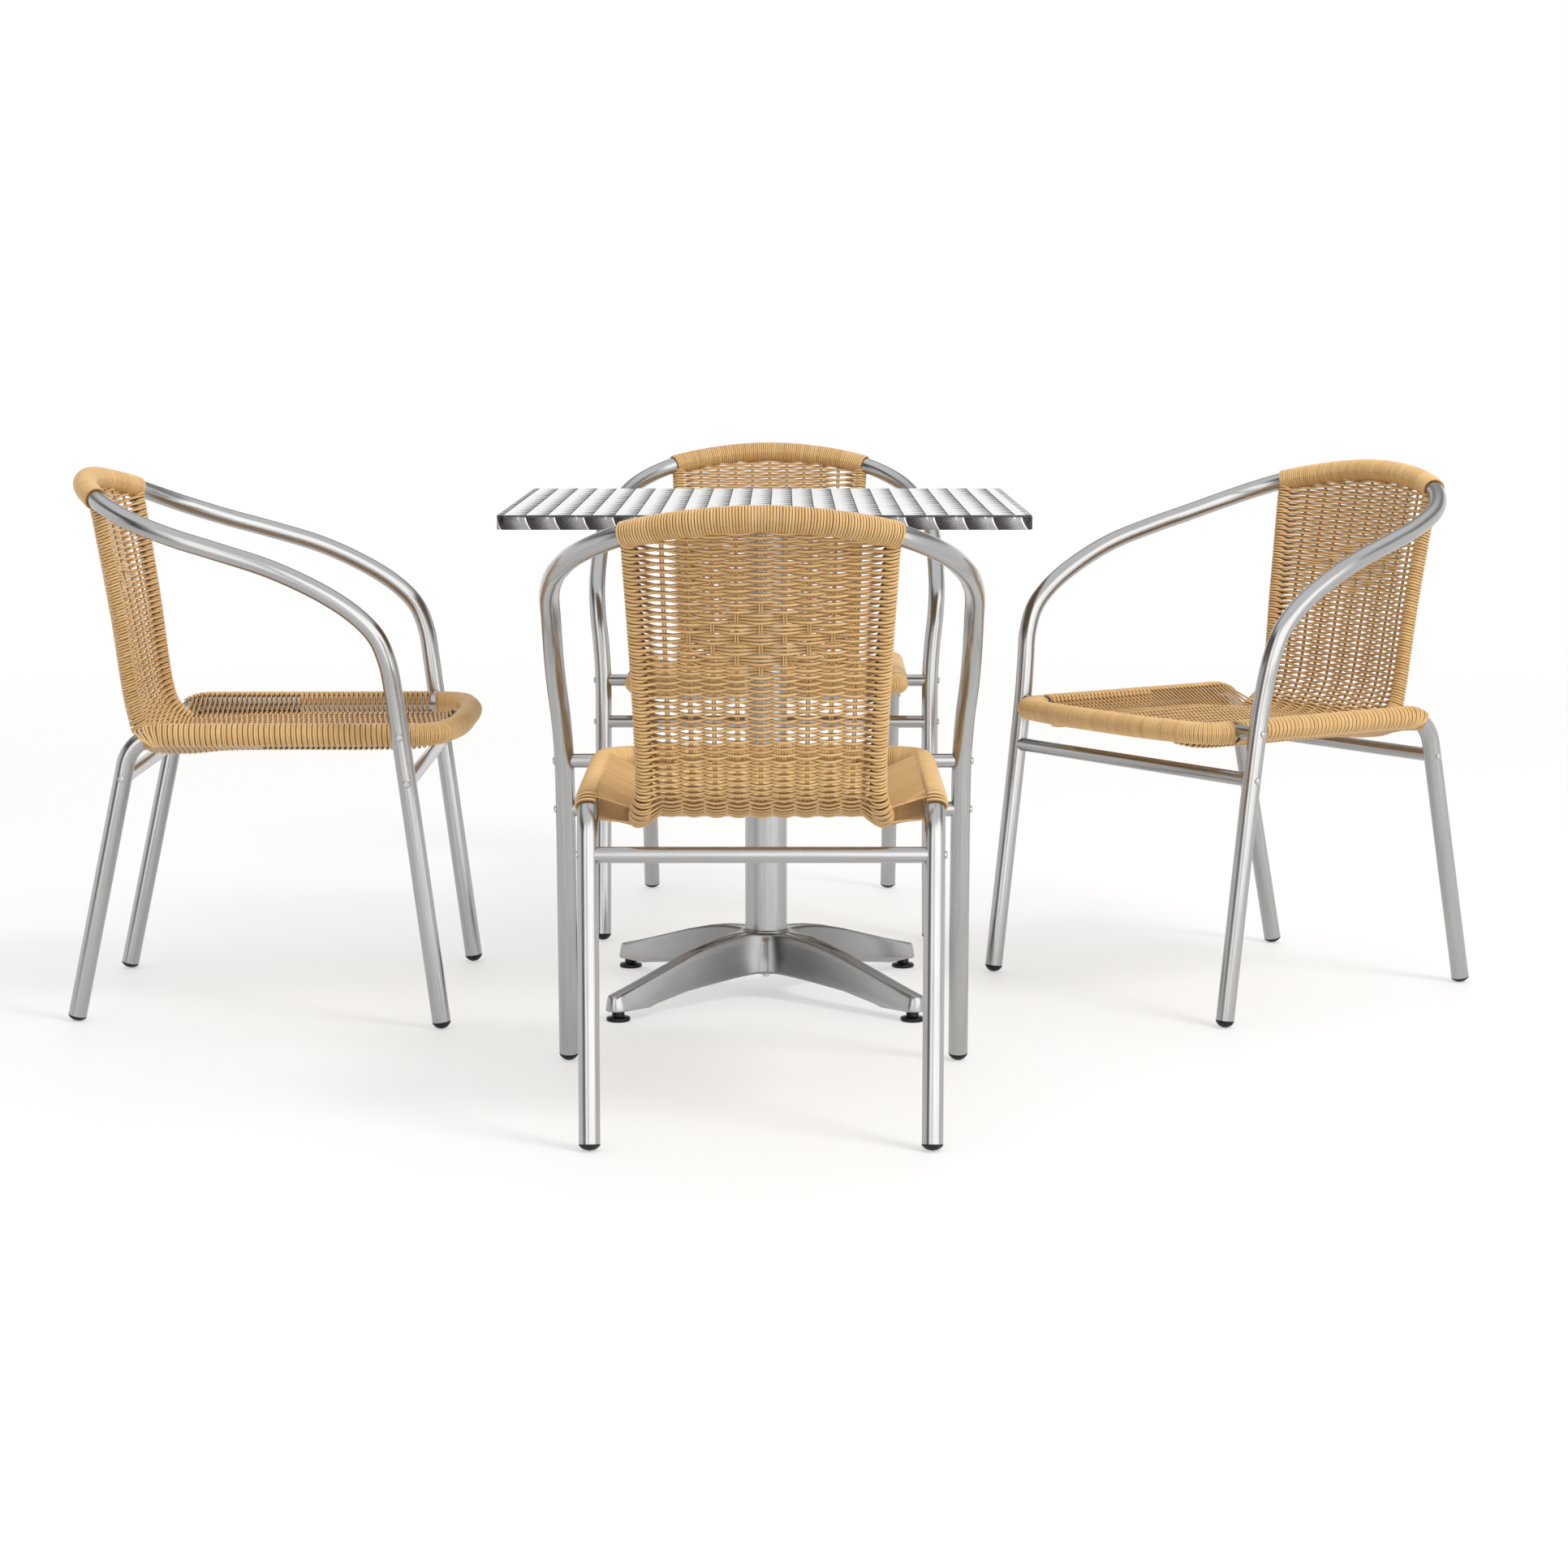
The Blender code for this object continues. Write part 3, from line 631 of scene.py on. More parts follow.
def swirled_rim(name):
    """The rim's swirls, with painted reflections: each ends in a painted bright arc that leans down to the
    right, with a painted dark start beyond it. The lip above them is painted dark."""
    nodes = material(name)
    skin = nodes.attribute("skin")
    along, _, height = skin.split()
    down = 1.0 - height / RIM_HEIGHT
    lean = down.to("MAXIMUM", 0.0) ** 1.9 * 0.19
    place = (along / RIM_SWIRL_PITCH - RIM_SWIRL_START - lean).to("FRACT")
    grain = nodes.noise(skin, 650.0)
    # painted reflection: each swirl runs from dark just past its arc to lighter grey, darker towards the top
    painted_reflection_tone = place.eased(0.10, 0.80) * 0.52 + down * 0.20 + grain * 0.80 - 0.40
    shade = nodes.ramp(
        painted_reflection_tone, (0.04, (0.028, 0.027, 0.026)), (0.38, (0.12, 0.12, 0.119)), (0.85, (0.50, 0.50, 0.495))
    )
    # painted highlights: a bright arc at each swirl's end and a bright spot near its top
    arc = place.eased(0.945, 0.975) * down.eased(0.06, 0.3)
    painted_glint_spot = 1.0 - abs(place - 0.74) * 10.0 - down * 2.6
    glint = (arc + painted_glint_spot.to("MAXIMUM", 0.0)).to("MINIMUM", 1.0)
    # painted shade: the lip at the top of the rim is darkened nearly to black
    painted_lip_shade = 1.0 - down.eased(0.12, 0.17)
    return nodes.finish(
        Base_Color=nodes.mixed(painted_lip_shade * 0.90, nodes.mixed(glint, shade, (0.97,) * 3), (0.03,) * 3),
        Metallic=1.0 - painted_lip_shade * 0.9,
        Roughness=grain * 0.2 + 0.24,
        Normal=nodes.bump(place, 0.25, 0.0005),
    )


def make_looks():
    return {
        "tube": drawn_metal("aluminium_tube", (0.44, 0.438, 0.436), 0.19, 0.22, 0.14),
        "column": drawn_metal("column_tube", (0.45, 0.45, 0.45), 0.28, 0.24, 0.30),
        "rod": drawn_metal("dark_steel_rod", (0.20, 0.20, 0.21), 0.32, 0.30, 0.10),
        "screw": drawn_metal("screw_steel", (0.55, 0.55, 0.56), 0.14, 0.20, 0.10),
        "stud": drawn_metal("zinc_steel", (0.62, 0.63, 0.64), 0.34, 0.20, 0.10),
        "cast": cast_metal("cast_aluminium", (0.44, 0.438, 0.436), 0.25),
        "rattan": rattan("rattan", 0.70),
        "close_wrap": rattan("rattan_close_wrap", 0.60),
        "cap": moulded("black_cap", (0.008, 0.008, 0.009), 0.42),
        "pad": moulded("black_pad", (0.006, 0.006, 0.006), 0.32),
        "core": moulded("board_core", (0.34, 0.24, 0.14), 0.75, 500.0),
        "top": swirled_top("swirl_metal_top"),
        "rim": swirled_rim("swirl_metal_rim"),
    }


# ---------------- chair: tubes


def cap_rise(dome_radius, lean_z):
    """How far up a leaning leg's axis the top of its cap lies, above the floor point."""
    return dome_radius / lean_z - math.sqrt(dome_radius**2 - TUBE_RADIUS**2) + CAP_BAND


def leg_start(foot, above, dome_radius):
    foot = np.array(foot)
    lean = unit(np.array(above) - foot)
    return foot + lean * cap_rise(dome_radius, lean[2])


def arm_line():
    start = leg_start(ARM_FOOT, ARM_KNOTS[0], FRONT_DOME_RADIUS)
    bow = through(mirrored(np.array(ARM_KNOTS)), 10)
    return np.concatenate([[start], bow, [start * (-1, 1, 1)]])


def seat_line():
    start = leg_start(SEAT_FOOT, SEAT_CORNERS[0][0], REAR_DOME_RADIUS)
    middle = (0.0, *SEAT_CORNERS[-1][0][1:])
    return mirrored(bent([(start, 0.0), *SEAT_CORNERS, (middle, 0.0)]))


def tubes_mesh(name, lines, radius, sides=24):
    shape = Shape()
    for line in lines:
        shape.strand(line, transported(line), radius, sides, tint=0.5)
    return shape.mesh(name, sharp=50)


def dome_profile(radius, flat):
    """A cap's dome, from a flat tip to the tube's wall, then its band."""
    widest = math.asin(TUBE_RADIUS / radius)
    angles = np.linspace(flat * widest, widest, 10)
    profile = [(0.0004, -radius)]
    profile += [(radius * math.sin(a), -radius * math.cos(a)) for a in angles]
    top = profile[-1][1]
    return [*profile, (TUBE_RADIUS, top + CAP_BAND), (TUBE_RADIUS - 0.0008, top + CAP_BAND + 0.0006)]


def caps_mesh():
    shape = Shape()
    for foot, above, radius, flat in (
        (ARM_FOOT, ARM_KNOTS[0], FRONT_DOME_RADIUS, 0.10),
        (SEAT_FOOT, SEAT_CORNERS[0][0], REAR_DOME_RADIUS, 0.45),
    ):
        for side in (-1, 1):
            floor = Vector((side * foot[0], *foot[1:]))
            lean = (Vector((side * above[0], *above[1:])) - floor).normalized()
            # the tip is cut flat, so the dome sinks until it stands on the floor
            centre = floor + lean * (radius / lean.z)
            place = Matrix.Translation(centre) @ lean.to_track_quat("Z", "Y").to_matrix().to_4x4()
            shape.turned(dome_profile(radius, flat), 40, place)
    return shape.mesh("foot_caps", sharp=40)


# ---------------- chair: screws


def screw_rings(rings=22, sides=64):
    """A pan head with a cross recess, as rings of points about +Z."""
    radii = SCREW_RADIUS * np.concatenate([np.linspace(0.02, 1.0, rings), [1.0]])
    angles = 2 * np.pi * np.arange(sides) / sides
    r, a = np.meshgrid(radii, angles, indexing="ij")
    x, y = r * np.cos(a), r * np.sin(a)
    crown = SCREW_HEIGHT * (1 - 0.45 * (r / SCREW_RADIUS) ** 2 - 0.40 * (r / SCREW_RADIUS) ** 10)
    slot = np.zeros_like(r)
    for across, along in ((x, y), (y, x)):
        width = CROSS_WIDTH * (1.15 - 0.35 * np.abs(along) / CROSS_REACH)
        inside = np.clip((width - np.abs(across)) / 0.0002 + 0.5, 0, 1)
        inside *= np.clip((CROSS_REACH - np.abs(along)) / 0.0003 + 0.5, 0, 1)
        slot = np.maximum(slot, inside)
    z = crown - slot * CROSS_DEPTH * (1 - 0.35 * r / CROSS_REACH).clip(0.4, 1)
    z[-1] = -0.0012
    return np.stack([x, y, z], axis=-1)[::-1]


def screws_mesh(places):
    """Screw heads at (point, outward direction, turn) places."""
    shape = Shape()
    rings = screw_rings()
    for point, outward, turn in places:
        turned = Vector(outward).to_track_quat("Z", "Y").to_matrix() @ Matrix.Rotation(turn, 3, "Z")
        shape.grid(rings @ np.array(turned).T + np.array(point), skin=rings, tint=0.5)
    return shape.mesh("screws")


def screw_places(front, rear, stub):
    """On the outer faces of the legs, at both ends of the stretchers and stubs."""
    places = []
    for number, point in enumerate((front, rear, stub)):
        for side in (-1, 1):
            outward = np.array((side * 1.0, 0.0, 0.0))
            place = np.array((side * point[0], point[1], point[2])) + outward * (TUBE_RADIUS - 0.0002)
            places.append((place, outward, 0.5 + 0.9 * number + 0.4 * side))
    return places


# ---------------- chair: the woven sling


class Sling:
    """The surface that the strands follow: lengths s run down the back and forwards along the seat."""

    def __init__(self):
        self.rod = through(SLING_KNOTS, 24)
        self.s = lengths(self.rod)
        along = unit(np.gradient(self.rod[:, 1:], self.s, axis=0))
        self.normals = np.stack([np.zeros_like(self.s), -along[:, 1], along[:, 0]], axis=1)
        self.s_bend = where(self.rod, 2, BEND_Z)
        top = SLING_KNOTS[0][2]
        drop = np.clip((top - self.rod[:, 2]) / (top - BEND_Z), 0, 1)
        onto_seat = np.clip((self.s - where(self.rod, 2, TURN_Z)) / TURN_LENGTH, 0, 1)
        onto_seat = onto_seat * onto_seat * (3 - 2 * onto_seat)
        back_bow = BACK_BOW[0] + (BACK_BOW[1] - BACK_BOW[0]) * drop
        self.bow = back_bow + (SEAT_SAG - back_bow) * onto_seat
        self.lift = SEAT_LIFT * onto_seat
        corner = np.exp(-(((self.s - self.s_bend - 0.022) / 0.022) ** 2))
        self.loop = EDGE_LOOP + (SEAT_LOOP - EDGE_LOOP) * onto_seat + (CORNER_LOOP - EDGE_LOOP) * corner
        self.pitch = STAKE_PITCH[0] + (STAKE_PITCH[1] - STAKE_PITCH[0]) * drop

    def value(self, table, s):
        """What a table gives for each point of the rod, at length s."""
        if table.ndim == 1:
            return np.interp(s, self.s, table)
        return np.stack([np.interp(s, self.s, column) for column in table.T], axis=-1)

    def rod_at(self, s):
        return self.value(self.rod, s)

    def normal_at(self, s):
        return unit(self.value(self.normals, s))

    def point(self, s, x, out):
        """The panel at length s and place x, out above it towards the sitter."""
        rod = self.rod_at(s)
        share = np.clip(x / rod[..., 0], -1, 1)
        offset = self.value(self.lift, s) - self.value(self.bow, s) * (1 - share**2)
        place = rod + self.normal_at(s) * (offset + out)[..., None]
        place[..., 0] = x
        return place

    def loop_point(self, s, side, angle):
        """On a loop round a rod: angle 0 is outwards, +90 degrees towards the sitter."""
        out = self.normal_at(s) * np.sin(angle)[..., None]
        out[..., 0] = side * np.cos(angle)
        return self.rod_at(s) * (side, 1, 1) + out * self.value(self.loop, s)[..., None], out


def pitch_of_row(s, sling):
    if s >= sling.s_bend:
        return ROW_PITCH[2]
    return ROW_PITCH[0] + (ROW_PITCH[1] - ROW_PITCH[0]) * s / sling.s_bend


def row_lengths(sling):
    """The length s of each row, from the top of the back to the front of the seat."""
    s = where(sling.rod, 2, FIRST_ROW_Z)
    end = where(sling.rod, 1, LAST_ROW_Y)
    rows = []
    while s < end:
        rows.append(s)
        s += pitch_of_row(s, sling)
    return np.array(rows)


def cell_row(row, stake, middle_row):
    """A row's place in its cell of the diamond, -1 to 1 from the top, or None outside the diamond."""
    from_middle = row - middle_row
    if abs(from_middle) > DIAMOND_ROWS - 3 * abs(stake):
        return None
    return (from_middle + 1) % 3 - 1


def crossing(row, stake, middle_row, opened):
    """How a row passes a pair of stakes: (out towards the sitter, shift down the back)."""
    place = cell_row(row, stake, middle_row)
    if place is None:
        in_front = (row + stake) % 2 == 0
        wave = WAVE_EDGE if stake == -4 else WAVE_TOP + (WAVE_LOW[stake % 2] - WAVE_TOP) * opened
        return (OVER_STAKE, -0.55 * wave) if in_front else (-OVER_STAKE, 0.45 * wave)
    behind = ((row - middle_row + 1) // 3 + stake) % 2 == 0
    return (-OVER_STAKE, place * CELL_SPREAD) if behind else (OVER_STAKE, -place * CELL_SPREAD)


def row_line(sling, s, row, middle_row):
    """A row across the panel, with its half turns round both rods, and the normals at its start."""
    rod_x, _, height = sling.rod_at(s)
    pitch = sling.value(sling.pitch, s)
    edge = -1 if row % 2 == 0 else 1
    beside = edge * sling.value(sling.loop, s) - sling.value(sling.lift, s)
    opened = np.interp(-height, [-z for z in WAVE_OPENS_Z], (0.0, 1.0))
    # (x, out, shift) at the rods and stakes, with an even run of x and soft waves between them
    crossings = [(stake * pitch, *crossing(row, stake, middle_row, opened)) for stake in STAKES]
    ends = np.array([(-rod_x, beside, 0.0), *crossings, (rod_x, beside, 0.0)])
    share = np.arange(ROW_STEPS) / ROW_STEPS
    eased = (1 - np.cos(np.pi * share)) / 2
    steps = np.diff(ends, axis=0)[:, None] * np.stack([share, eased, eased], axis=1)
    xs, outs, shifts = np.concatenate([(ends[:-1, None] + steps).reshape(-1, 3), ends[-1:]]).T
    line = sling.point(s + shifts, xs, outs)
    share = np.linspace(0, 1, ROW_STEPS)[1:]
    along, angle = s + edge * pitch_of_row(s, sling) / 2 * share, np.pi / 2 * edge * (1 - share)
    (left, left_out), (right, _) = (sling.loop_point(along, side, angle) for side in (-1, 1))
    return np.concatenate([left[::-1], line, right]), left_out[::-1]


def weave_meshes(sling, rail):
    """The rows of the back and of the seat, and the stakes."""
    rows = row_lengths(sling)
    random = np.random.default_rng(SEED)
    heights = sling.value(sling.rod[:, 2], rows)
    middle_row = int(np.argmin(np.abs(heights - DIAMOND_Z)))
    middle_row += middle_row % 2
    rail = rail[(rail[:, 1] < -0.15) & (rail[:, 2] > 0.6)]
    rail = rail[np.argsort(rail[:, 0])]
    back, seat = Shape(SEED + 1), Shape(SEED + 2)
    for row, s in enumerate(rows):
        s += random.normal(0, 0.00012)
        line, normals = row_line(sling, s, row, middle_row)
        shape = back if s < sling.s_bend + 0.02 else seat
        under_rail = np.interp(np.abs(line[:, 0]), rail[:, 0], rail[:, 2]) - TUBE_RADIUS
        clear = (line[:, 2] < under_rail) | (s > TOP_ROWS)
        if not clear.all():
            keep = np.flatnonzero(clear & (np.abs(line[:, 0]) < TOP_ROW_REACH))
            if len(keep) < 4:
                continue
            line = line[keep[0] : keep[-1] + 1]
            normals = normals[min(keep[0], len(normals) - 1) :]
        shape.strand(line, transported(line, normals[0]), ROW_RADIUS)
    stakes = Shape(SEED + 3)
    run = np.arange(0.004, where(sling.rod, 1, LAST_ROW_Y + 0.001), 0.006)
    for stake in STAKES:
        for side in (-1, 1):
            x = stake * sling.value(sling.pitch, run) + side * (STAKE_RADIUS + 0.0001)
            line = sling.point(run, x, np.zeros_like(run))
            stakes.strand(line, sling.normal_at(run), STAKE_RADIUS)
    return back.mesh("back_rows"), seat.mesh("seat_rows"), stakes.mesh("stakes")


def edge_loops_mesh(sling):
    """Full turns round the rods of the back, one between each pair of rows."""
    shape = Shape(SEED + 4)
    rows = row_lengths(sling)
    angle = 2 * np.pi * np.arange(LOOP_STEPS) / LOOP_STEPS
    first, last = where(sling.rod, 2, LOOPS_TOP_Z), sling.s_bend + LOOPS_PAST_BEND
    for s in rows[1::2]:
        if not first <= s <= last:
            continue
        # up the outside from the rear to the sitter's side, and back down inside
        pairing = CORNER_PAIRING * np.exp(-(((s - sling.s_bend - 0.015) / 0.025) ** 2))
        shift = pitch_of_row(s, sling) * (pairing - (1 + np.sin(angle)) / 2)
        for side in (-1, 1):
            line, out = sling.loop_point(s + shift, side, angle)
            shape.strand(line, out, LOOP_RADIUS, looped=True)
    return shape.mesh("edge_loops")


def rings_along(shape, line, starts, strand, tilt=None, opened=None):
    """Turns of a strand round a tube, at lengths along its line. The opened ones are arcs."""
    full = 2 * np.pi * np.arange(RING_STEPS) / RING_STEPS
    arc = np.radians(np.linspace(*OPEN_TURN, RING_STEPS - 4))
    tilt = np.zeros(len(starts)) if tilt is None else tilt
    opened = np.zeros(len(starts), bool) if opened is None else opened
    step = 0.0015
    for s, lean, is_open in zip(starts, tilt, opened):
        angle = arc if is_open else full
        centre = at_lengths(line, s)
        along = unit(at_lengths(line, s + step) - at_lengths(line, s - step))
        up = np.array((0.0, 0.0, 1.0))
        up = unit(up - along * (up @ along))
        radial = np.cos(angle)[:, None] * np.cross(along, up) + np.sin(angle)[:, None] * up
        radius = TUBE_RADIUS + strand + shape.random.normal(0, 0.00005)
        points = centre + radial * radius + along * (np.sin(angle)[:, None] * radius * lean)
        shape.strand(points, radial, strand, sides=7, looped=not is_open)


def top_wrap_mesh(arms):
    reach, pitch, strand = TOP_WRAP
    start = where(arms[: len(arms) // 2 + 1], 0, reach)
    end = lengths(arms)[-1] - start
    count = round((end - start) / pitch)
    shape = Shape(SEED + 5)
    rings_along(shape, arms, np.linspace(start, end, count + 1), strand)
    return shape.mesh("top_rail_wrap")


def stub_place():
    arms = arm_line()
    return at_lengths(arms, where(arms, 2, SPACER_Z))


def side_turns(seat):
    """Lengths along the seat tube of the turns on the right side rail, from the rear forwards, and
    the length where the front rail's wrap starts."""
    legs_end = np.argmax(seat[:, 2] > LEGS_END_Z)
    rail, offset = seat[legs_end : len(seat) // 2 + 1], lengths(seat)[legs_end]
    stub_y = stub_place()[1]
    start, end, resume = (
        offset + where(rail, 1, y) for y in (WRAP_REAR_Y, stub_y - STUB_GAP, stub_y + STUB_GAP)
    )
    count = round((end - start) / SIDE_PITCH)
    turns = np.linspace(start, end, count + 1)
    return turns + SIDE_PAIRING * SIDE_PITCH * (-1.0) ** np.arange(count + 1), resume


def painted_gap_shade(shape, seat, turns):
    """Painted shade between the turns: a thin dark sleeve under their outer half, put where there is only
    shade.
    """
    arc = np.radians(np.linspace(*OPEN_TURN, 14))
    spine = at_lengths(seat, np.linspace(turns[0], turns[-1], 24))
    reach = TUBE_RADIUS + 0.0005
    ring = np.stack([np.sign(spine[0, 0]) * np.cos(arc), np.zeros_like(arc), np.sin(arc)], axis=-1)
    rings = spine[:, None] + ring * reach
    skin = np.zeros_like(rings)
    skin[..., 0] = 1.0  # all "towards a neighbour", so that the whole sleeve takes the rattan's painted crevice shade
    shape.grid(rings, skin, tint=0.0, closed=False, capped=False)


def seat_wraps_meshes(seat):
    """The turns round the seat's side rails, and the closer ones that go on past the stubs round
    its corners and front rail."""
    shape = Shape(SEED + 6)
    turns, resume = side_turns(seat)
    tilt = 0.42 * np.exp(-np.arange(len(turns)) / 3.0) + 0.06
    total = lengths(seat)[-1]
    # a dark sleeve under each side's turns, as painted shade in the gaps between them
    painted_gap_shade(shape, seat, turns)
    painted_gap_shade(shape, seat, total - turns)
    opened = (np.arange(len(turns)) % 2 == 0) | (at_lengths(seat, turns)[:, 1] < LOWER_STRIPS_END_Y)
    rings_along(shape, seat, turns, SIDE_STRAND, -tilt, opened)
    rings_along(shape, seat, total - turns, SIDE_STRAND, tilt, opened)
    # evenly spaced on the rail's outer side, so that the wrap stays closed round the corners
    along = unit(np.gradient(seat, axis=0))
    outer = lengths(seat + unit(np.cross(along, (0.0, 0.0, 1.0))) * TUBE_RADIUS)
    begin, end = np.interp((resume, total - resume), lengths(seat), outer)
    count = round((end - begin) / FRONT_WRAP_PITCH)
    front = np.interp(np.linspace(begin, end, count + 1), outer, lengths(seat))
    close = Shape(SEED + 8)
    rings_along(close, seat, front, FRONT_WRAP_PITCH * 0.52)
    return shape.mesh("seat_side_wrap"), close.mesh("seat_front_wrap")


def strip_line(rail, rod, rail_radius, rod_radius, lower):
    """A strand's path in a plane across the chair: over the rail, down to the rod, round it and,
    where the lower strand is there, back under the rail."""
    gap = rod - rail
    heading = math.atan2(gap[1], gap[0])
    spread = math.acos((rail_radius - rod_radius) / np.linalg.norm(gap))
    # angles count from +x, anticlockwise, and the rod lies on the rail's inner side
    leave, arrive = (heading - spread) % (2 * math.pi), (heading + spread) % (2 * math.pi)
    runs = [
        (rail, rail_radius, np.linspace(math.radians(-20), leave, OVER_STEPS)),
        (rod, rod_radius, np.linspace(leave, arrive if lower else leave + (arrive - leave) * 0.9, 9)),
    ]
    if lower:
        runs.append((rail, rail_radius, np.linspace(arrive, math.radians(340), 6)))
    return np.concatenate(
        [centre + radius * np.stack([np.cos(a), np.sin(a)], axis=1) for centre, radius, a in runs]
    )


def strips_mesh(seat, sling):
    """Strands from the side rails to the rods, and those that come back under them at the rear."""
    shape = Shape(SEED + 7)
    turns, _ = side_turns(seat)
    for number, s in enumerate(turns):
        rail = at_lengths(seat, s)
        y = rail[1]
        rod = sling.rod_at(where(sling.rod, 1, max(y, STRIPS_REAR_Y)))
        lower = y < LOWER_STRIPS_END_Y
        upper = number % 2 == 0
        if not (upper or lower):
            continue
        path = strip_line(
            rail[[0, 2]], rod[[0, 2]], TUBE_RADIUS + STRIP_RADIUS, ROD_RADIUS + STRIP_RADIUS + 0.0004, lower
        )
        if not upper:
            path = path[OVER_STEPS + 5 :]
        lean = np.interp(path[:, 0], [rod[0] - 0.01, rail[0] + 0.014], [-0.0016, 0.0008])
        base = np.interp(path[:, 0], [rod[0], rail[0]], [rod[1], y])
        line = np.stack([path[:, 0], base + lean, path[:, 1]], axis=1)
        normals = transported(line, np.array((0.0, 1.0, 0.0)))
        for side in (-1, 1):
            mirror = np.array((side, 1, 1))
            shape.strand(line * mirror, normals * mirror, STRIP_RADIUS)
    return shape.mesh("seat_side_strips")


# ---------------- chair: assembly


def chair_pieces():
    """(mesh, look, record slot, CAD nodes it stands for) of each piece, in the chair's frame."""
    arms, seat, sling = arm_line(), seat_line(), Sling()
    front = at_lengths(arms, where(arms, 2, FRONT_STRETCHER_Z))
    rear = at_lengths(seat, where(seat, 2, REAR_STRETCHER_Z))
    front_bar, rear_bar = (np.linspace(end, end * (-1, 1, 1), BAR_POINTS) for end in (front, rear))
    stub = stub_place()
    stub_x = SEAT_CORNERS[0][0][0] + 0.004
    stubs = [
        np.linspace((side * stub_x, *stub[1:]), stub * (side, 1, 1), BAR_POINTS) for side in (-1, 1)
    ]
    rod = mirrored(through(SLING_KNOTS[1:], 16))
    caps = [f"{end}_{hand}_foot_cap" for end in ("front", "rear") for hand in ("left", "right")]
    back, seat_panel, stakes = weave_meshes(sling, arms)
    side_wrap, front_wrap = seat_wraps_meshes(seat)
    tube, strands = ("tube", "aluminium_tube"), ("rattan", "rattan")
    return [
        (tubes_mesh("arm_tube", [arms], TUBE_RADIUS), *tube, ["arm_frame"]),
        (tubes_mesh("seat_tube", [seat], TUBE_RADIUS), *tube, ["seat_frame"]),
        (tubes_mesh("spacer_stubs", stubs, SPACER_RADIUS), *tube, []),
        (tubes_mesh("front_stretcher_tube", [front_bar], STRETCHER_RADIUS), *tube, ["front_stretcher"]),
        (tubes_mesh("rear_stretcher_tube", [rear_bar], STRETCHER_RADIUS), *tube, ["rear_stretcher"]),
        (tubes_mesh("sling_rod", [rod], ROD_RADIUS, 16), "rod", "dark_steel_rod", ["sling_frame"]),
        (caps_mesh(), "cap", "black_cap", caps),
        (screws_mesh(screw_places(front, rear, stub)), "screw", "aluminium_tube", []),
        (back, *strands, ["back_weave"]),
        (seat_panel, *strands, ["seat_weave"]),
        (stakes, *strands, []),
        (edge_loops_mesh(sling), *strands, []),
        (top_wrap_mesh(arms), *strands, []),
        (side_wrap, *strands, []),
        (front_wrap, "close_wrap", "rattan", []),
        (strips_mesh(seat, sling), *strands, []),
    ]


def chair_place(chair, joints, stretcher_y):
    """A chair's frame: its slide's axis gives its heading, its front stretcher its place."""
    axis = next(joint["axis"] for joint in joints if joint["name"] == f"{chair}_slide")
    heading = math.atan2(axis[0], -axis[1])
    low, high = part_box(f"{chair}_front_stretcher")
    turn = Matrix.Rotation(heading, 4, "Z")
    middle = (low + high) / 2
    origin = Vector((middle.x, middle.y, 0.0)) - turn @ Vector((0.0, stretcher_y, 0.0))
    return Matrix.Translation(origin) @ turn


def placed(name, mesh, look, body, stands_for=(), matrix=None):
    made = bpy.data.objects.new(name, mesh)
    bpy.context.scene.collection.objects.link(made)
    mesh.materials.clear()
    mesh.materials.append(look)
    if matrix is not None:
        made.matrix_world = matrix
    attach(made, body)
    if stands_for:
        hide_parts(*stands_for)


def make_chairs(looks, joints):
    arms = arm_line()
    stretcher_y = at_lengths(arms, where(arms, 2, FRONT_STRETCHER_Z))[1]
    pieces = chair_pieces()
    for chair in CHAIRS:
        matrix = chair_place(chair, joints, stretcher_y)
        for mesh, look, slot, nodes in pieces:
            stands_for = [f"{chair}_{node}" for node in nodes]
            placed(f"{chair}_{mesh.name}", mesh, looks[look], chair, stands_for, matrix)


# ---------------- table


def square_ring(half, radius, height, steps=10):
    """A level square ring with rounded corners."""
    ring = []
    for corner in range(4):
        turn = math.radians(90 * corner + 45)
        reach = (half - radius) * math.sqrt(2)
        for step in range(steps + 1):
            angle = math.radians(90 * (corner + step / steps))
            x = reach * math.cos(turn) + radius * math.cos(angle)
            y = reach * math.sin(turn) + radius * math.sin(angle)
            ring.append((x, y, height))
    return np.array(ring)


def make_top(looks, place):
    """The pressed top: its flat face, and the rolled edge and rim round it."""
    low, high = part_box("table_top_shell")
    half, top = (high.x - low.x) / 2, high.z
    under = top - RIM_HEIGHT
    # (inset, height), from the face over the rolled edge, down the rim and in under it
    profile = [
        (EDGE_ROLL * (1 - math.sin(a)), top - EDGE_ROLL * (1 - math.cos(a)))
        for a in np.linspace(0, math.pi / 2, 7)
    ]
    profile += [(0.0, under + 0.0006), (0.0004, under), (0.0016, under), (0.0016, under + 0.004)]
    rings = [square_ring(half - inset, CORNER_RADIUS - inset, height) for inset, height in profile]
    around = lengths(np.concatenate([rings[0], rings[0][:1]]))[:-1]
    skins = [np.stack([around, np.zeros_like(around), ring[:, 2] - under], axis=1) for ring in rings]
    rim = Shape()
    rim.grid(np.array(rings)[::-1], np.array(skins)[::-1], tint=0.5, capped=False)
    face = Shape()
    shares = (1.0, 0.7, 0.35, 0.0006)
    face.grid(np.array([rings[0] * (share, share, 1) for share in shares]), tint=0.5, capped=False)
    face.faces.append(list(range(face.count - len(around), face.count))[::-1])
    placed("table_top_face", face.mesh("table_top_face"), looks["top"], "table", matrix=place)
    mesh = rim.mesh("table_top_rim", sharp=40)
    placed("table_top_rim", mesh, looks["rim"], "table", ["table_top_shell"], place)


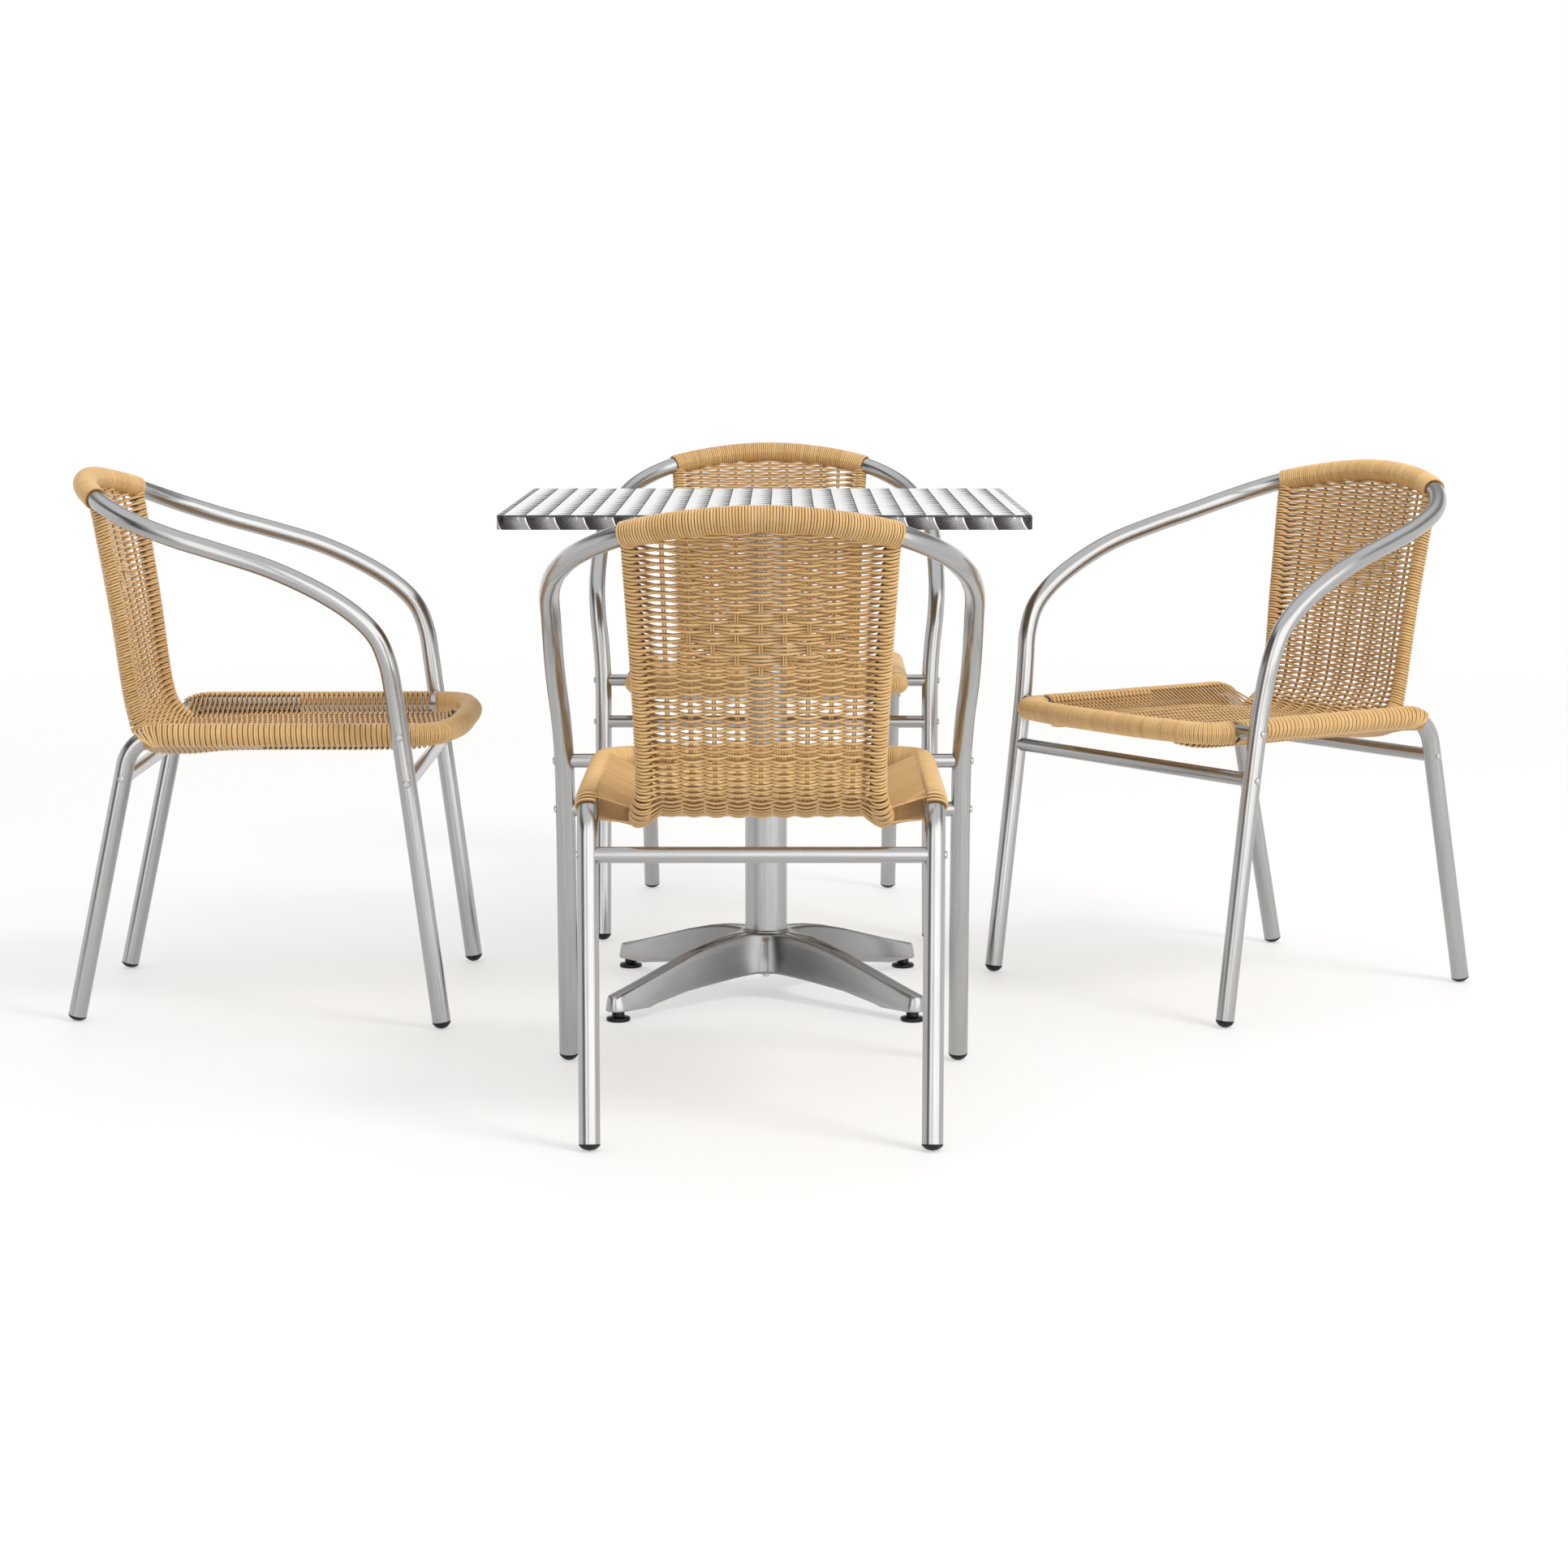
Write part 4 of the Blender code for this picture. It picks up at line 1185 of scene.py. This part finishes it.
def star_half(half_width, fillet, reach):
    """One flank of an arm in plan, (distance, half width): fillet, straight side and rounded tip."""
    growth = np.geomspace(1.0, 9.0, 12)
    flank = [(half_width + fillet * g, half_width + fillet / g) for g in growth]
    distance, width = flank[-1]
    straight = np.linspace(distance, reach - width, 40)[1:-1]
    tip = np.linspace(0, math.pi / 2, 8)[:-1]
    return [
        *flank,
        *((distance, width) for distance in straight),
        *((reach - width + width * math.sin(a), width * math.cos(a)) for a in tip),
    ]


def star_plan(half_width, fillet, reach):
    """The star's outline in plan as (angle, radius) pairs."""
    half = [(math.atan2(w, d), math.hypot(d, w)) for d, w in star_half(half_width, fillet, reach)]
    arm = [(-a, r) for a, r in half] + [(0.0, reach)] + half[::-1]
    outline = []
    for corner in range(4):
        turn = math.radians(45 + 90 * corner)
        outline += [(turn + a, r) for a, r in arm[:-1]]
    return outline


def base_mesh():
    """The four-armed casting, from its under edge up its flanks and over onto the ridge."""

    def towards_hub(plan, shares, height):
        """A plan drawn in towards the hub, by shares of its own reach."""
        return [[(a, BASE_HUB + s * (r - BASE_HUB), height) for a, r in star_plan(*plan)] for s in shares]

    # rings of (angle, radius, share of the height between the under and the top line)
    *edge, edge_height = BASE_SECTION[0]
    *ridge, ridge_height = BASE_SECTION[-1]
    rings = towards_hub(edge, (0.0, 0.35, 0.8), edge_height)
    rings += [[(a, r, share) for a, r in star_plan(*plan)] for *plan, share in BASE_SECTION]
    rings += towards_hub(ridge, (0.8, 0.45, 0.15, 0.0), ridge_height)
    tops, unders = np.array(BASE_TOP).T, np.array(BASE_UNDER).T
    step_start, step_end = BASE_STEP
    smooth = unders[:, (unders[0] <= step_start) | (unders[0] > step_end)]
    points = []
    for ring in rings:
        a, r, share = np.array(ring).T
        # only the lowest edge follows the step to the pad at the tip
        low = np.interp(r, *(unders if share.max() <= 0 else smooth))
        high = np.interp(r, *tops)
        points.append(np.stack([r * np.cos(a), r * np.sin(a), low + share * (high - low)], axis=1))
    points.append(points[0])
    shape = Shape()
    shape.grid(np.array(points), tint=0.5, capped=False)
    return shape.mesh("base_star", sharp=60)


def turned_mesh(name, profile, sides):
    shape = Shape()
    shape.turned(profile, sides)
    return shape.mesh(name, sharp=50)


def make_table(looks, axis):
    place = Matrix.Translation(axis)
    make_top(looks, place)
    placed("base_star", base_mesh(), looks["cast"], "table", ["base_casting"], place)
    low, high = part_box("column")
    tube = turned_mesh("column_tube", [(COLUMN_RADIUS, z) for z in np.linspace(low.z, high.z, 12)], 64)
    placed("column_tube", tube, looks["column"], "table", ["column"], place)
    collar = [(COLUMN_RADIUS + out, low.z + rise) for out, rise in COLLAR_PROFILE]
    collar = turned_mesh("column_collar", collar, 64)
    placed("column_collar", collar, looks["cast"], "table", matrix=place)


def make_glides(looks):
    for number in range(1, 5):
        low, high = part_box(f"glide_{number}_pad")
        centre = (low + high) / 2
        # the neck ends just above the CAD pad's own
        disc = turned_mesh("glide_disc", [*GLIDE_PROFILE, (0.0086, high.z + 0.0018)], 40)
        placed(
            f"glide_{number}_disc", disc, looks["pad"], f"glide_{number}_foot",
            [f"glide_{number}_pad"], Matrix.Translation((centre.x, centre.y, 0.0)),
        )


def dress_cad_nodes(nodes, looks):
    """Looks for the CAD nodes that stay: they are out of sight or right as they are."""
    chosen = {"table_top_core": "core", "top_spider": "cast"}
    for name in ("tie_rod", "tie_rod_washer", "tie_rod_nut", *(f"glide_{n}_stud" for n in range(1, 5))):
        chosen[name] = "stud"
    for name, look in chosen.items():
        nodes[name].data.materials.clear()
        nodes[name].data.materials.append(looks[look])


# ---------------- stage


def make_floor():
    """A pale floor that glows a little, so that shadows stay faint, and fades out far from the set."""
    bpy.ops.mesh.primitive_circle_add(vertices=96, radius=FLOOR_RADIUS, fill_type="NGON", location=(0, 0, 0))
    floor = bpy.context.object
    floor.name = "floor"
    nodes = material("pale_floor")
    floor.data.materials.append(
        nodes.finish(
            Base_Color=(0.42, 0.416, 0.410),
            Roughness=0.6,
            Alpha=1.0 - nodes.coordinate("Object").length().eased(*FLOOR_FADE),
            Emission_Color=(1.0, 0.994, 0.985),
            Emission_Strength=0.50,
        )
    )


def make_studio():
    """The world: white to the camera, a ring of soft boxes and dark flags under a bright ceiling to
    mirroring surfaces, and an even sky to everything else."""
    world = bpy.data.worlds.new("studio")
    bpy.context.scene.world = world
    nodes = Nodes(world)
    x, y, z = nodes.coordinate("Generated").split()
    turn = nodes.math("ARCTAN2", x, y * -1.0)
    stops = [((degrees + 180) / 360, bright / RING_BRIGHTEST) for degrees, bright in STUDIO_RING]
    ring = nodes.ramp(turn.ranged(-math.pi, math.pi), *stops)
    ring = nodes.value("ShaderNodeVectorMath", {0: ring, "Scale": RING_BRIGHTEST}, operation="SCALE")
    mirrored_light = nodes.mixed(z.eased(0.55, 0.80), ring, (CEILING,) * 3)
    # low down behind and beside the set the backdrop is white, which the table top mirrors
    backdrop = y.ranged(-0.5, -0.2) * z.ranged(0.42, 0.26)
    mirrored_light = nodes.mixed(backdrop, mirrored_light, (BACKDROP,) * 3)
    sky = z.to("MAXIMUM", 0.0) * SKY[1] + SKY[0]
    path = nodes.node("ShaderNodeLightPath").outputs
    light = nodes.mixed(Value(nodes, path["Is Glossy Ray"]), sky, mirrored_light)
    light = nodes.mixed(Value(nodes, path["Is Camera Ray"]), light, (1.0,) * 3)
    nodes.finish("Background", Color=light, Strength=1.0)
    bpy.context.scene.view_settings.view_transform = "Standard"


def make_key_light():
    """One soft box high on the right, for the soft shadows. The tubes don't mirror it."""
    data = bpy.data.lights.new("key", "AREA")
    data.size = KEY_SIZE
    data.energy = KEY_POWER
    made = bpy.data.objects.new("key", data)
    made.location = KEY_PLACE
    made.rotation_euler = (Vector(KEY_TARGET) - Vector(KEY_PLACE)).to_track_quat("-Z", "Y").to_euler()
    made.visible_glossy = False
    bpy.context.scene.collection.objects.link(made)


def make_camera(axis):
    data = bpy.data.cameras.new("camera")
    data.sensor_width = 36.0
    data.lens = LENS_MM
    camera = bpy.data.objects.new("camera", data)
    bpy.context.scene.collection.objects.link(camera)
    camera.location = axis + Vector(CAMERA_FROM_COLUMN)
    camera.rotation_euler = (math.radians(90 - CAMERA_PITCH), 0.0, 0.0)
    bpy.context.scene.camera = camera


def main():
    for old in list(bpy.data.objects):
        bpy.data.objects.remove(old)
    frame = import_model()
    low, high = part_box("column")
    axis = Vector(((low.x + high.x) / 2, (low.y + high.y) / 2, 0.0))
    looks = make_looks()
    make_table(looks, axis)
    make_glides(looks)
    dress_cad_nodes(frame["nodes"], looks)
    make_chairs(looks, frame["joints"])
    make_floor()
    make_studio()
    make_key_light()
    make_camera(axis)


main()
